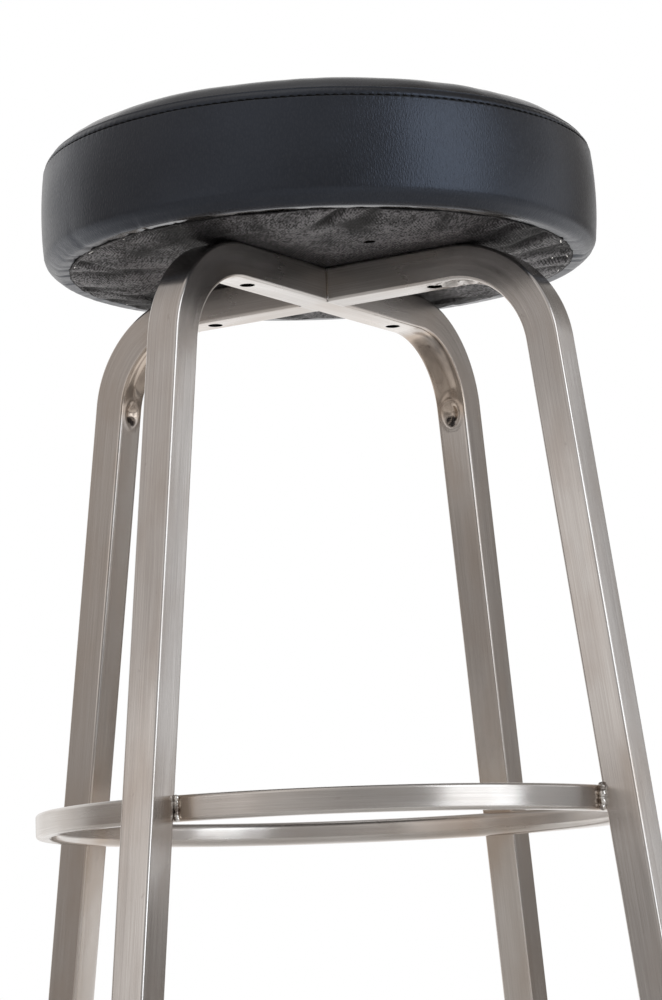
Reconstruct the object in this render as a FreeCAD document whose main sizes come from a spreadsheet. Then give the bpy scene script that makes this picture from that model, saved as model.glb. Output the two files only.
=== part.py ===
"""Bar stool: a round upholstered seat on two crossed U tubes with a foot ring.

Origin on the floor under the centre of the seat, +Z up, -Y to the front.
The legs stand on the diagonals. Lengths are in millimetres, angles in degrees.
"""
import FreeCAD, Part
import Sketcher
import math
import os

from FreeCAD import Placement, Rotation, Vector

doc = FreeCAD.newDocument("BarStool")

# Driving sizes of the tubes, legs and crossing
FRAME_SIZES = {
    "ArmTopHeight": 680,
    "TubeWidth": 25,
    "TubeWall": 1.5,
    "TubeCornerRadius": 2.2,
    "TubeInnerCornerRadius": 0.7,
    "LegSplay": 7.75,
    "LegFaceRadius": 187,
    "BendOuterRadius": 85,
    "CrushRadius": 13,
    "CrushDepth": 3.2,
    "AccessHoleDiameter": 10.6,
    "CrossBeadRadius": 2.2,
}

# Foot ring, its welds and the glides
FOOT_SIZES = {
    "RingTopHeight": 298,
    "RingHeight": 17,
    "RingThickness": 13.5,
    "RingWall": 1.5,
    "RingOuterCorner": 2.5,
    "RingInnerCorner": 5.5,
    "RingInnerWallCorner": 1,
    "RingGap": 0.1,
    "BeadRadius": 2.9,
    "BeadOffset": 0.8,
    "BeadRise": 0.6,
    "GlideSole": 5,
    "GlidePlug": 22,
    "GlideClearance": 0.15,
    "GlideCornerRadius": 1,
}

# Seat, from the dust cover up to the crown
SEAT_SIZES = {
    "CoverRadius": 180,
    "CoverFlatRadius": 150,
    "CoverRise": 4.5,
    "CoverThickness": 0.8,
    "VentDiameter": 8,
    "VentRadius": 104,
    "VentAngle": -82.8,
    "LeatherThickness": 1.2,
    "FlapRadius": 157,
    "BoardRadius": 186,
    "BoardThickness": 15,
    "BottomEdgeRadius": 9.8,
    "BottomEdgeStart": 188.5,
    "BottomEdgeTop": 14.5,
    "WidestRadius": 199.4,
    "WidestHeight": 41,
    "SideBulgeRadius": 240,
    "SeamHeight": 76,
    "ShoulderRadius": 42,
    "ShoulderStart": 58,
    "ShoulderEnd": 16,
    "CrownBlendRadius": 209,
    "CrownEdge": 4,
}

# Screws, nuts and staples
FASTENER_SIZES = {
    "ScrewCircle": 94.3,
    "ScrewDiameter": 6,
    "ScrewLength": 16,
    "ScrewHeadDiameter": 10,
    "ScrewHeadHeight": 6,
    "ScrewSocket": 5,
    "ScrewSocketDepth": 3,
    "ScrewHoleDiameter": 6.6,
    "ThreadClearance": 0.1,
    "NutBarrelDiameter": 7.8,
    "NutBarrelLength": 10,
    "NutFlangeDiameter": 19,
    "NutFlangeThickness": 1.2,
    "StapleCrown": 10,
    "StapleLeg": 8,
    "StapleWire": 0.6,
    "StapleWidth": 0.9,
    "CoverStapleRadius": 177,
    "LeatherStapleRadius": 166,
    "StapleCount": 24,
    "LegCount": 4,
}

# One overrun serves every cut
CUT_SIZES = {"Overrun": 6}

sheet = doc.addObject("Spreadsheet::Sheet", "Dims")
row = 0
for group in (FRAME_SIZES, FOOT_SIZES, SEAT_SIZES, FASTENER_SIZES, CUT_SIZES):
    for size_name, size_value in group.items():
        row += 1
        sheet.set(f"A{row}", size_name)
        sheet.set(f"B{row}", str(size_value))
        sheet.setAlias(f"B{row}", size_name)
doc.recompute()

DIAGONAL = 45
QUARTER_TURN = 90
UP = Vector(0, 0, 1)

nodes = []


def origin_feature(body, role):
    """The body's own origin plane or axis with this role."""
    return next(item for item in body.Origin.OriginFeatures if item.Role == role)


def turned(angle):
    """A placement turned about the stool's upright axis."""
    return Placement(Vector(), Rotation(UP, angle))


def new_body(name):
    return doc.addObject("PartDesign::Body", name)


def new_sketch(body, name, plane, across="0", up="0", out="0"):
    """A sketch on an origin plane, its own origin moved across, up and out by expressions."""
    sketch = body.newObject("Sketcher::SketchObject", name)
    sketch.AttachmentSupport = (origin_feature(body, plane), [""])
    sketch.MapMode = "FlatFace"
    for axis, expression in zip("xyz", (across, up, out)):
        if expression != "0":
            sketch.setExpression(f"AttachmentOffset.Base.{axis}", expression)
    return sketch


def arc_between(start, end, radius, turn):
    """The short arc from start to end: turn is 1 for anticlockwise and -1 for clockwise."""
    chord = end.sub(start)
    middle = start.add(end).multiply(1 / 2)
    rise = math.sqrt(max(radius ** 2 - (chord.Length / 2) ** 2, 0))
    left = Vector(-chord.y, chord.x, 0).normalize()
    centre = middle.add(left.multiply(rise * turn))
    first, last = (start, end) if turn > 0 else (end, start)
    angles = [math.atan2(point.y - centre.y, point.x - centre.x) for point in (first, last)]
    return Part.ArcOfCircle(Part.Circle(centre, UP, radius), angles[0], angles[1])


def draw(sketch, points, arcs=None, closed=True):
    """Lines and arcs through points given as expressions, with every coordinate bound.

    arcs holds, for the number of a segment, its radius as an expression and its turn.
    """
    arcs = arcs or {}
    places = [Vector(*(float(sketch.evalExpression(text)) for text in point), 0) for point in points]
    count = len(points)
    first = sketch.GeometryCount
    ends = []
    bound = []
    for index in range(count if closed else count - 1):
        start, end = places[index], places[(index + 1) % count]
        if index in arcs:
            radius, turn = arcs[index]
            sketch.addGeometry(arc_between(start, end, float(sketch.evalExpression(radius)), turn))
            ends.append((1, 2) if turn > 0 else (2, 1))
            bound.append((("Radius", first + index), radius))
        else:
            sketch.addGeometry(Part.LineSegment(start, end))
            ends.append((1, 2))
    for index, point in enumerate(points):
        segment = min(index, len(ends) - 1)
        corner = (first + segment, ends[segment][0 if index == segment else 1])
        for kind, axis, text in zip(("DistanceX", "DistanceY"), (-2, -1), point):
            if text == "0":
                sketch.addConstraint(Sketcher.Constraint("PointOnObject", *corner, axis))
            else:
                bound.append(((kind, -1, 1, *corner), text))
    for index in range(len(ends) if closed else len(ends) - 1):
        following = (index + 1) % len(ends)
        joint = (first + index, ends[index][1], first + following, ends[following][0])
        sketch.addConstraint(Sketcher.Constraint("Coincident", *joint))
    for parts, text in bound:
        number = sketch.addConstraint(Sketcher.Constraint(*parts, float(sketch.evalExpression(text))))
        sketch.setExpression(f"Constraints[{number}]", text)


def draw_circle(sketch, across, up, radius):
    """A circle whose centre and radius are bound by expressions."""
    places = [float(sketch.evalExpression(text)) for text in (across, up, radius)]
    number = sketch.addGeometry(Part.Circle(Vector(places[0], places[1], 0), UP, places[2]))
    bound = [(("Radius", number), radius)]
    for kind, axis, text in (("DistanceX", -2, across), ("DistanceY", -1, up)):
        if text == "0":
            sketch.addConstraint(Sketcher.Constraint("PointOnObject", number, 3, axis))
        else:
            bound.append(((kind, -1, 1, number, 3), text))
    for parts, text in bound:
        index = sketch.addConstraint(Sketcher.Constraint(*parts, float(sketch.evalExpression(text))))
        sketch.setExpression(f"Constraints[{index}]", text)


def rounded_rectangle(low, high, radii):
    """Points and arcs of a rectangle from low to high, with a radius for each corner."""
    (left, bottom), (right, top) = low, high
    a, b, c, d = radii
    points = [
        (f"{left} + {a}", bottom), (f"{right} - {b}", bottom),
        (right, f"{bottom} + {b}"), (right, f"{top} - {c}"),
        (f"{right} - {c}", top), (f"{left} + {d}", top),
        (left, f"{top} - {d}"), (left, f"{bottom} + {a}"),
    ]
    return points, {1: (b, 1), 3: (c, 1), 5: (d, 1), 7: (a, 1)}


def revolve(body, sketch, name):
    feature = body.newObject("PartDesign::Revolution", name)
    feature.Profile = sketch
    feature.ReferenceAxis = (sketch, ["V_Axis"])
    return feature


def pad(body, sketch, name, length, both_ways=False):
    feature = body.newObject("PartDesign::Pad", name)
    feature.Profile = sketch
    feature.setExpression("Length", length)
    feature.Midplane = both_ways
    return feature


def pocket(body, sketch, name, length, upwards=False):
    """A pocket that has to take material away."""
    doc.recompute()
    before = body.Shape.Volume
    feature = body.newObject("PartDesign::Pocket", name)
    feature.Profile = sketch
    feature.setExpression("Length", length)
    feature.Reversed = upwards
    doc.recompute()
    if body.Shape.Volume >= before:
        raise RuntimeError(f"{name} cuts nothing")
    return feature


def polar_pattern(body, features, name, count):
    feature = body.newObject("PartDesign::PolarPattern", name)
    feature.Originals = features
    feature.Axis = (origin_feature(body, "Z_Axis"), [""])
    feature.setExpression("Occurrences", count)
    body.Tip = feature
    return feature


def mirrored(body, features, name, plane):
    feature = body.newObject("PartDesign::Mirrored", name)
    feature.Originals = features
    feature.MirrorPlane = (origin_feature(body, plane), [""])
    body.Tip = feature
    return feature


def solid(kind, name, sizes, place=None):
    """A Part primitive whose sizes and place are bound by expressions."""
    item = doc.addObject(kind, name)
    for size, text in sizes.items():
        item.setExpression(size, text)
    for axis, text in (place or {}).items():
        item.setExpression(f"Placement.Base.{axis}", text)
    return item


def cut(name, base, tool):
    item = doc.addObject("Part::Cut", name)
    item.Base, item.Tool = base, tool
    return item


def common(name, base, tool):
    item = doc.addObject("Part::Common", name)
    item.Base, item.Tool = base, tool
    return item


def fuse(name, items):
    item = doc.addObject("Part::MultiFuse", name)
    item.Shapes = items
    item.Refine = True
    return item


def node(item, label, angle=0):
    """Marks a finished piece, gives it its name and turns it to its leg."""
    item.Label = label
    if angle:
        item.Placement = turned(angle)
    nodes.append(item)
    return item


# One leg along +X: its centre line, and where its outer face meets the bend
BEND_CENTRE_X = (
    "(Dims.LegFaceRadius - Dims.BendOuterRadius * (1 - sin(Dims.LegSplay)) / cos(Dims.LegSplay))"
)
BEND_CENTRE_Z = "(Dims.ArmTopHeight - Dims.BendOuterRadius)"
BEND_MIDDLE_RADIUS = "(Dims.BendOuterRadius - Dims.TubeWidth / 2)"
BEND_END_X = f"({BEND_CENTRE_X} + {BEND_MIDDLE_RADIUS} * cos(Dims.LegSplay))"
BEND_END_Z = f"({BEND_CENTRE_Z} + {BEND_MIDDLE_RADIUS} * sin(Dims.LegSplay))"
ARM_MIDDLE_Z = "(Dims.ArmTopHeight - Dims.TubeWidth / 2)"
FOOT_END_X = f"({BEND_END_X} + ({BEND_END_Z} + Dims.Overrun) * tan(Dims.LegSplay))"


def leg_solid(name, half_width, corner_radius):
    """A bent square bar from the stool's axis to below the floor."""
    body = new_body(name)
    path = new_sketch(body, f"{name}Path", "XZ_Plane")
    points = [
        ("0", ARM_MIDDLE_Z), (BEND_CENTRE_X, ARM_MIDDLE_Z),
        (BEND_END_X, BEND_END_Z), (FOOT_END_X, "-Dims.Overrun"),
    ]
    draw(path, points, {1: (BEND_MIDDLE_RADIUS, -1)}, closed=False)
    section = new_sketch(body, f"{name}Section", "YZ_Plane", up=ARM_MIDDLE_Z)
    outline, arcs = rounded_rectangle(
        (f"-({half_width})", f"-({half_width})"), (f"({half_width})", f"({half_width})"),
        [corner_radius] * 4,
    )
    draw(section, outline, arcs)
    pipe = body.newObject("PartDesign::AdditivePipe", f"{name}Pipe")
    pipe.Profile = section
    pipe.Spine = (path, ["Edge1", "Edge2", "Edge3"])
    return body


def crush_solid(name, wall):
    """The groove pressed along the inside of a bend, with a round end at each end."""
    radius = f"Dims.CrushRadius + {wall}"
    ring = "(Dims.BendOuterRadius - Dims.TubeWidth + Dims.CrushDepth - Dims.CrushRadius)"
    body = new_body(f"{name}Turn")
    section = new_sketch(body, f"{name}Section", "YZ_Plane", up=BEND_CENTRE_Z, out=BEND_CENTRE_X)
    draw_circle(section, "0", ring, radius)
    turn = body.newObject("PartDesign::Revolution", f"{name}Revolution")
    turn.Profile = section
    turn.ReferenceAxis = (section, ["H_Axis"])
    turn.setExpression("Angle", f"{QUARTER_TURN} - Dims.LegSplay")
    turn.Reversed = True
    start = solid(
        "Part::Sphere", f"{name}Start", {"Radius": radius},
        {"x": BEND_CENTRE_X, "z": f"{BEND_CENTRE_Z} + {ring}"},
    )
    end = solid(
        "Part::Sphere", f"{name}End", {"Radius": radius},
        {
            "x": f"{BEND_CENTRE_X} + {ring} * cos(Dims.LegSplay)",
            "z": f"{BEND_CENTRE_Z} + {ring} * sin(Dims.LegSplay)",
        },
    )
    return fuse(name, [body, start, end])


def slab(name, low, height):
    """A block round one leg, from a height up."""
    return solid(
        "Part::Box", name,
        {"Length": "Dims.ArmTopHeight", "Width": "2 * Dims.TubeWidth", "Height": height},
        {"y": "-Dims.TubeWidth", "z": low},
    )


# The leg tube: a crushed bar less a crushed bore, with its two holes, cut off above the sole
BORE_HALF = "(Dims.TubeWidth / 2 - Dims.TubeWall)"
outer_bar = leg_solid("OuterBar", "Dims.TubeWidth / 2", "Dims.TubeCornerRadius")
bore_bar = leg_solid("BoreBar", BORE_HALF, "Dims.TubeInnerCornerRadius")
crushed_bar = cut("CrushedBar", outer_bar, crush_solid("Crush", "0"))
crushed_bore = cut("CrushedBore", bore_bar, crush_solid("CrushInside", "Dims.TubeWall"))
access_hole = solid(
    "Part::Cylinder", "AccessHole",
    {"Radius": "Dims.AccessHoleDiameter / 2", "Height": "Dims.Overrun + Dims.TubeWidth / 2"},
    {"x": "Dims.ScrewCircle", "z": "Dims.ArmTopHeight - Dims.TubeWidth - Dims.Overrun"},
)
screw_hole = solid(
    "Part::Cylinder", "ScrewHole",
    {"Radius": "Dims.ScrewHoleDiameter / 2", "Height": "Dims.Overrun + Dims.TubeWidth / 2"},
    {"x": "Dims.ScrewCircle", "z": ARM_MIDDLE_Z},
)
below_leg = slab("BelowLeg", "-2 * Dims.Overrun", "2 * Dims.Overrun + Dims.GlideSole")
leg_cuts = fuse("LegCuts", [crushed_bore, access_hole, screw_hole, below_leg])
leg_tube = cut("LegTube", crushed_bar, leg_cuts)

# The long tube is two of these without a break, and the short ones butt against its sides
opposite_leg = doc.addObject("Part::Mirroring", "OppositeLeg")
opposite_leg.Source = leg_tube
opposite_leg.Normal = Vector(1, 0, 0)
node(fuse("LongTube", [leg_tube, opposite_leg]), "leg_tube_front_left_to_rear_right", DIAGONAL)
middle_cut = solid(
    "Part::Box", "MiddleCut",
    {"Length": "Dims.TubeWidth", "Width": "2 * Dims.TubeWidth", "Height": "2 * Dims.TubeWidth"},
    {"x": "-Dims.TubeWidth / 2", "y": "-Dims.TubeWidth", "z": "Dims.ArmTopHeight - Dims.TubeWidth * 1.5"},
)
node(cut("FrontRightTube", leg_tube, middle_cut), "leg_tube_front_right", -DIAGONAL)
node(cut("RearLeftTube", leg_tube, middle_cut), "leg_tube_rear_left", 2 * QUARTER_TURN - DIAGONAL)

# Welds of the crossing: four upright beads, and four strips ground flush with the long tube
bead_body = new_body("CrossBeads")
bead_sketch = new_sketch(
    bead_body, "CrossBeadCircle", "XY_Plane",
    out="Dims.ArmTopHeight - Dims.TubeWidth + Dims.TubeCornerRadius",
)
draw_circle(bead_sketch, "Dims.TubeWidth / 2", "Dims.TubeWidth / 2", "Dims.CrossBeadRadius")
bead_pad = pad(bead_body, bead_sketch, "CrossBead", "Dims.TubeWidth - 2 * Dims.TubeCornerRadius")
polar_pattern(bead_body, [bead_pad], "CrossBeadPattern", "Dims.LegCount")
arm_blocks = [
    solid(
        "Part::Box", name,
        {length: "4 * Dims.TubeWidth", width: "Dims.TubeWidth", "Height": "Dims.TubeWidth"},
        {
            along: "-2 * Dims.TubeWidth", across: "-Dims.TubeWidth / 2",
            "z": "Dims.ArmTopHeight - Dims.TubeWidth",
        },
    )
    for name, length, width, along, across in (
        ("ArmBlockX", "Length", "Width", "x", "y"), ("ArmBlockY", "Width", "Length", "y", "x"),
    )
]
cross_beads = cut("CrossBeadsCut", bead_body, fuse("ArmBlocks", arm_blocks))
strip_body = new_body("CrossStrips")
strip_sketch = new_sketch(
    strip_body, "CrossStripSection", "YZ_Plane", across="Dims.TubeWidth / 2",
    up="Dims.ArmTopHeight - Dims.TubeWidth",
)
draw(
    strip_sketch,
    [("-Dims.TubeCornerRadius", "0"), ("0", "0"), ("0", "Dims.TubeCornerRadius")],
    {2: ("Dims.TubeCornerRadius", -1)},
)
strip_pad = pad(
    strip_body, strip_sketch, "CrossStrip", "Dims.TubeWidth - 2 * Dims.TubeCornerRadius", both_ways=True
)
strip_mirror = mirrored(strip_body, [strip_pad], "CrossStripMirror", "XZ_Plane")
cross_welds = doc.addObject("Part::Compound", "CrossWelds")
cross_welds.Links = [cross_beads, strip_body]
node(cross_welds, "cross_welds", DIAGONAL)

# Foot ring: a small flattened tube rolled to a circle inside the legs
LEG_INNER_FACE = (
    "(Dims.LegFaceRadius + (Dims.ArmTopHeight - Dims.RingTopHeight) * tan(Dims.LegSplay)"
    " - Dims.TubeWidth / cos(Dims.LegSplay))"
)
RING_OUTER = f"({LEG_INNER_FACE} - Dims.RingGap)"
RING_INNER = f"({RING_OUTER} - Dims.RingThickness)"
RING_BOTTOM = "(Dims.RingTopHeight - Dims.RingHeight)"


def ring_solid(name, wall, inner_corner, outer_corner):
    """A ring of rounded section, set in by a wall on every side."""
    body = new_body(name)
    section = new_sketch(body, f"{name}Section", "XZ_Plane")
    outline, arcs = rounded_rectangle(
        (f"{RING_INNER} + {wall}", f"{RING_BOTTOM} + {wall}"),
        (f"{RING_OUTER} - {wall}", f"Dims.RingTopHeight - {wall}"),
        [inner_corner, outer_corner, outer_corner, inner_corner],
    )
    draw(section, outline, arcs)
    revolve(body, section, f"{name}Turn")
    return body


ring_bar = ring_solid("RingBar", "0", "Dims.RingInnerCorner", "Dims.RingOuterCorner")
ring_bore = ring_solid(
    "RingBore", "Dims.RingWall", "(Dims.RingInnerCorner - Dims.RingWall)", "Dims.RingInnerWallCorner"
)
node(cut("FootRing", ring_bar, ring_bore), "foot_ring")

# Ring welds: two upright beads at each leg, fitted round the ring and the leg
weld_body = new_body("RingBeads")
weld_section = new_sketch(
    weld_body, "RingBeadSection", "XZ_Plane",
    across=f"{RING_OUTER} + Dims.BeadOffset", out="Dims.TubeWidth / 2 + Dims.BeadOffset",
)
WELD_LOW = f"({RING_BOTTOM} - Dims.BeadRise)"
WELD_HIGH = "(Dims.RingTopHeight + Dims.BeadRise)"
draw(
    weld_section,
    [
        ("0", WELD_LOW), ("Dims.BeadRadius", f"{WELD_LOW} + Dims.BeadRadius"),
        ("Dims.BeadRadius", f"{WELD_HIGH} - Dims.BeadRadius"), ("0", WELD_HIGH),
    ],
    {0: ("Dims.BeadRadius", 1), 2: ("Dims.BeadRadius", 1)},
)
weld_turn = revolve(weld_body, weld_section, "RingBead")
mirrored(weld_body, [weld_turn], "RingBeadMirror", "XZ_Plane")
ring_and_leg = fuse("RingAndLeg", [outer_bar, ring_bar])
LEG_ANGLES = {
    "front_right": -DIAGONAL,
    "rear_right": DIAGONAL,
    "rear_left": DIAGONAL + QUARTER_TURN,
    "front_left": -DIAGONAL - QUARTER_TURN,
}
for leg, angle in LEG_ANGLES.items():
    node(cut(f"RingWeld_{leg}", weld_body, ring_and_leg), f"ring_weld_{leg}", angle)

# Glides: a sole as wide as the tube, and a plug up its bore
PLUG_HALF = f"({BORE_HALF} - Dims.GlideClearance)"
plug_bar = leg_solid("PlugBar", PLUG_HALF, "Dims.GlideCornerRadius")
sole_slab = slab("SoleSlab", "0", "Dims.GlideSole")
plug_slab = slab("PlugSlab", "Dims.GlideSole", "Dims.GlidePlug")
glide_sole = common("GlideSoleBlock", outer_bar, sole_slab)
glide_plug = common("GlidePlugBlock", plug_bar, plug_slab)
for leg, angle in LEG_ANGLES.items():
    node(fuse(f"Glide_{leg}", [glide_sole, glide_plug]), f"glide_{leg}", angle)

# The seat's outline, measured from the plane on which it rests
SEAT = "Dims.ArmTopHeight"
RIM_SLOPE = "(Dims.CoverRise / (Dims.CoverRadius - Dims.CoverFlatRadius))"
SIDE_CENTRE = ("(Dims.WidestRadius - Dims.SideBulgeRadius)", "Dims.WidestHeight")


def underside(radius, layers):
    """Height of the sloping underside at a radius, above the layers below it."""
    return f"({RIM_SLOPE} * ({radius} - Dims.CoverFlatRadius) + {layers})"


def on_circle(centre, radius, height):
    """Distance from the axis where a circle of the outline passes a height."""
    return f"({centre[0]} + sqrt(({radius}) ^ 2 - ({height} - {centre[1]}) ^ 2))"


SEAM_RADIUS = on_circle(SIDE_CENTRE, "Dims.SideBulgeRadius", "Dims.SeamHeight")
SHOULDER_CENTRE = (
    f"({SEAM_RADIUS} - Dims.ShoulderRadius * sin(Dims.ShoulderStart))",
    "(Dims.SeamHeight - Dims.ShoulderRadius * cos(Dims.ShoulderStart))",
)
BLEND_OFFSET = "(Dims.CrownBlendRadius - Dims.ShoulderRadius)"
BLEND_CENTRE = (
    f"({SHOULDER_CENTRE[0]} - {BLEND_OFFSET} * sin(Dims.ShoulderEnd))",
    f"({SHOULDER_CENTRE[1]} - {BLEND_OFFSET} * cos(Dims.ShoulderEnd))",
)
CROWN_RADIUS = f"({BLEND_CENTRE[0]} / sin(Dims.CrownEdge) + Dims.CrownBlendRadius)"
CROWN_CENTRE_Z = f"({BLEND_CENTRE[1]} - {BLEND_CENTRE[0]} / tan(Dims.CrownEdge))"


def side_points(inset):
    """Corner and seam points of the side, set in from the leather's outside."""
    layers = f"Dims.CoverThickness + {inset}"
    radius = f"Dims.SideBulgeRadius - {inset}"
    points = [
        ("Dims.BottomEdgeStart", underside("Dims.BottomEdgeStart", layers)),
        (on_circle(SIDE_CENTRE, radius, "Dims.BottomEdgeTop"), "Dims.BottomEdgeTop"),
        (on_circle(SIDE_CENTRE, radius, "Dims.SeamHeight"), "Dims.SeamHeight"),
    ]
    return points, [f"Dims.BottomEdgeRadius - {inset}", radius]


def top_points(inset):
    """Points of the crown from the seam to the axis, set in from the leather's outside."""
    shoulder = f"(Dims.ShoulderRadius - {inset})"
    blend = f"(Dims.CrownBlendRadius - {inset})"
    crown = f"({CROWN_RADIUS} - {inset})"
    points = [
        (on_circle(SHOULDER_CENTRE, shoulder, "Dims.SeamHeight"), "Dims.SeamHeight"),
        (
            f"{SHOULDER_CENTRE[0]} + {shoulder} * sin(Dims.ShoulderEnd)",
            f"{SHOULDER_CENTRE[1]} + {shoulder} * cos(Dims.ShoulderEnd)",
        ),
        (
            f"{BLEND_CENTRE[0]} + {blend} * sin(Dims.CrownEdge)",
            f"{BLEND_CENTRE[1]} + {blend} * cos(Dims.CrownEdge)",
        ),
        ("0", f"{CROWN_CENTRE_Z} + {crown}"),
    ]
    return points, [shoulder, blend, crown]


def seat_body(name, points, arcs=None):
    """A piece of the seat turned about the axis from its section."""
    body = new_body(name)
    section = new_sketch(body, f"{name}Section", "XZ_Plane", up=SEAT)
    draw(section, points, arcs)
    revolve(body, section, f"{name}Turn")
    return body


def drill(body, name, circles, low, depth, count=None):
    """Upright holes through a piece of the seat, repeated round the axis if counted."""
    sketch = new_sketch(body, f"{name}Circle", "XY_Plane", out=f"{SEAT} + {low}")
    for across, up, radius in circles:
        draw_circle(sketch, across, up, radius)
    hole = pocket(body, sketch, name, depth, upwards=True)
    if count:
        polar_pattern(body, [hole], f"{name}Pattern", count)


# Staples: a crown on the surface and two legs up into the board
def staples(name, radius, layers):
    body = new_body(name)
    sketch = new_sketch(
        body, f"{name}Shape", "YZ_Plane", up=f"{SEAT} + {underside(radius, layers)} - Dims.StapleWire",
        out=radius,
    )
    half = "Dims.StapleCrown / 2"
    inner = f"({half} - Dims.StapleWire)"
    draw(
        sketch,
        [
            (f"-{half}", "0"), (half, "0"), (half, "Dims.StapleLeg"), (inner, "Dims.StapleLeg"),
            (inner, "Dims.StapleWire"), (f"-{inner}", "Dims.StapleWire"),
            (f"-{inner}", "Dims.StapleLeg"), (f"-{half}", "Dims.StapleLeg"),
        ],
    )
    wire = pad(body, sketch, f"{name}Wire", "Dims.StapleWidth", both_ways=True)
    polar_pattern(body, [wire], f"{name}Pattern", "Dims.StapleCount")
    return body


cover_staples = node(staples("CoverStaples", "Dims.CoverStapleRadius", "0"), "dust_cover_staples")
leather_staples = node(
    staples("LeatherStaples", "Dims.LeatherStapleRadius", "Dims.CoverThickness"), "upholstery_staples"
)
all_staples = fuse("AllStaples", [cover_staples, leather_staples])

# T-nuts in the board, and the screws that reach them from inside the arms
BOARD_TOP = "(Dims.CoverThickness + Dims.BoardThickness)"
NUT_BORE = "(Dims.ScrewDiameter / 2 + Dims.ThreadClearance)"
nut_body = new_body("TNuts")
nut_section = new_sketch(nut_body, "TNutSection", "XZ_Plane", across="Dims.ScrewCircle", up=SEAT)
draw(
    nut_section,
    [
        (NUT_BORE, f"{BOARD_TOP} - Dims.NutBarrelLength"),
        ("Dims.NutBarrelDiameter / 2", f"{BOARD_TOP} - Dims.NutBarrelLength"),
        ("Dims.NutBarrelDiameter / 2", BOARD_TOP), ("Dims.NutFlangeDiameter / 2", BOARD_TOP),
        ("Dims.NutFlangeDiameter / 2", f"{BOARD_TOP} + Dims.NutFlangeThickness"),
        (NUT_BORE, f"{BOARD_TOP} + Dims.NutFlangeThickness"),
    ],
)
nut_turn = revolve(nut_body, nut_section, "TNut")
polar_pattern(nut_body, [nut_turn], "TNutPattern", "Dims.LegCount")
t_nuts = node(nut_body, "seat_t_nuts", DIAGONAL)

screw_body = new_body("SeatScrews")
screw_section = new_sketch(screw_body, "ScrewSection", "XZ_Plane", across="Dims.ScrewCircle", up=SEAT)
HEAD_BOTTOM = "(-Dims.TubeWall - Dims.ScrewHeadHeight)"
draw(
    screw_section,
    [
        ("0", HEAD_BOTTOM), ("Dims.ScrewHeadDiameter / 2", HEAD_BOTTOM),
        ("Dims.ScrewHeadDiameter / 2", "-Dims.TubeWall"), ("Dims.ScrewDiameter / 2", "-Dims.TubeWall"),
        ("Dims.ScrewDiameter / 2", "Dims.ScrewLength - Dims.TubeWall"),
        ("0", "Dims.ScrewLength - Dims.TubeWall"),
    ],
)
screw_turn = revolve(screw_body, screw_section, "Screw")
socket_sketch = new_sketch(
    screw_body, "SocketSection", "XY_Plane", across="Dims.ScrewCircle", out=f"{SEAT} + {HEAD_BOTTOM}"
)
HEX_SIDES = 6
HEX_TURN = 2 * 2 * QUARTER_TURN / HEX_SIDES
HEX_CORNER = f"Dims.ScrewSocket / (2 * cos({HEX_TURN} / 2))"
draw(
    socket_sketch,
    [
        (f"{HEX_CORNER} * cos({HEX_TURN} * ({side} + 1 / 2))", f"{HEX_CORNER} * sin({HEX_TURN} * ({side} + 1 / 2))")
        for side in range(HEX_SIDES)
    ],
)
socket = pocket(screw_body, socket_sketch, "ScrewSocketPocket", "Dims.ScrewSocketDepth", upwards=True)
polar_pattern(screw_body, [screw_turn, socket], "ScrewPattern", "Dims.LegCount")
node(screw_body, "seat_screws", DIAGONAL)

# Board: plywood disc with its edge bevelled below, drilled for the nuts
board_body = seat_body(
    "Board",
    [
        ("0", "Dims.CoverThickness"),
        (f"Dims.CoverFlatRadius - Dims.LeatherThickness / {RIM_SLOPE}", "Dims.CoverThickness"),
        (
            "Dims.BoardRadius",
            underside("Dims.BoardRadius", "Dims.CoverThickness + Dims.LeatherThickness"),
        ),
        ("Dims.BoardRadius", BOARD_TOP),
        ("0", BOARD_TOP),
    ],
)
drill(
    board_body, "NutHole",
    [("Dims.ScrewCircle * cos(45)", "Dims.ScrewCircle * sin(45)", "Dims.NutBarrelDiameter / 2")],
    "0", f"{BOARD_TOP} + Dims.Overrun", "Dims.LegCount",
)
node(cut("SeatBoard", board_body, all_staples), "seat_board")

# Foam: crown on top, and a skirt round the board's edge
side, side_arcs = side_points("Dims.LeatherThickness")
top, top_arcs = top_points("Dims.LeatherThickness")
foam_body = seat_body(
    "Foam",
    [
        ("0", BOARD_TOP), ("Dims.BoardRadius", BOARD_TOP),
        (
            "Dims.BoardRadius",
            underside("Dims.BoardRadius", "Dims.CoverThickness + Dims.LeatherThickness"),
        ),
        *side, *top,
    ],
    {
        3: (side_arcs[0], 1), 4: (side_arcs[1], 1),
        6: (top_arcs[0], 1), 7: (top_arcs[1], 1), 8: (top_arcs[2], 1),
    },
)
node(cut("SeatFoam", foam_body, t_nuts), "seat_foam")

# Leather: a side band pulled under the edge, and a top panel sewn to it at the seam
outside, outside_arcs = side_points("0")
band_body = seat_body(
    "SideBand",
    [
        ("Dims.FlapRadius", underside("Dims.FlapRadius", "Dims.CoverThickness")),
        *outside, *reversed(side),
        (
            "Dims.FlapRadius",
            underside("Dims.FlapRadius", "Dims.CoverThickness + Dims.LeatherThickness"),
        ),
    ],
    {
        1: (outside_arcs[0], 1), 2: (outside_arcs[1], 1),
        4: (side_arcs[1], -1), 5: (side_arcs[0], -1),
    },
)
node(cut("SeatSideBand", band_body, all_staples), "seat_side_band")
outside, outside_arcs = top_points("0")
panel_body = seat_body(
    "TopPanel", [*outside, *reversed(top)],
    {
        0: (outside_arcs[0], 1), 1: (outside_arcs[1], 1), 2: (outside_arcs[2], 1),
        4: (top_arcs[2], -1), 5: (top_arcs[1], -1), 6: (top_arcs[0], -1),
    },
)
node(panel_body, "seat_top_panel")

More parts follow.
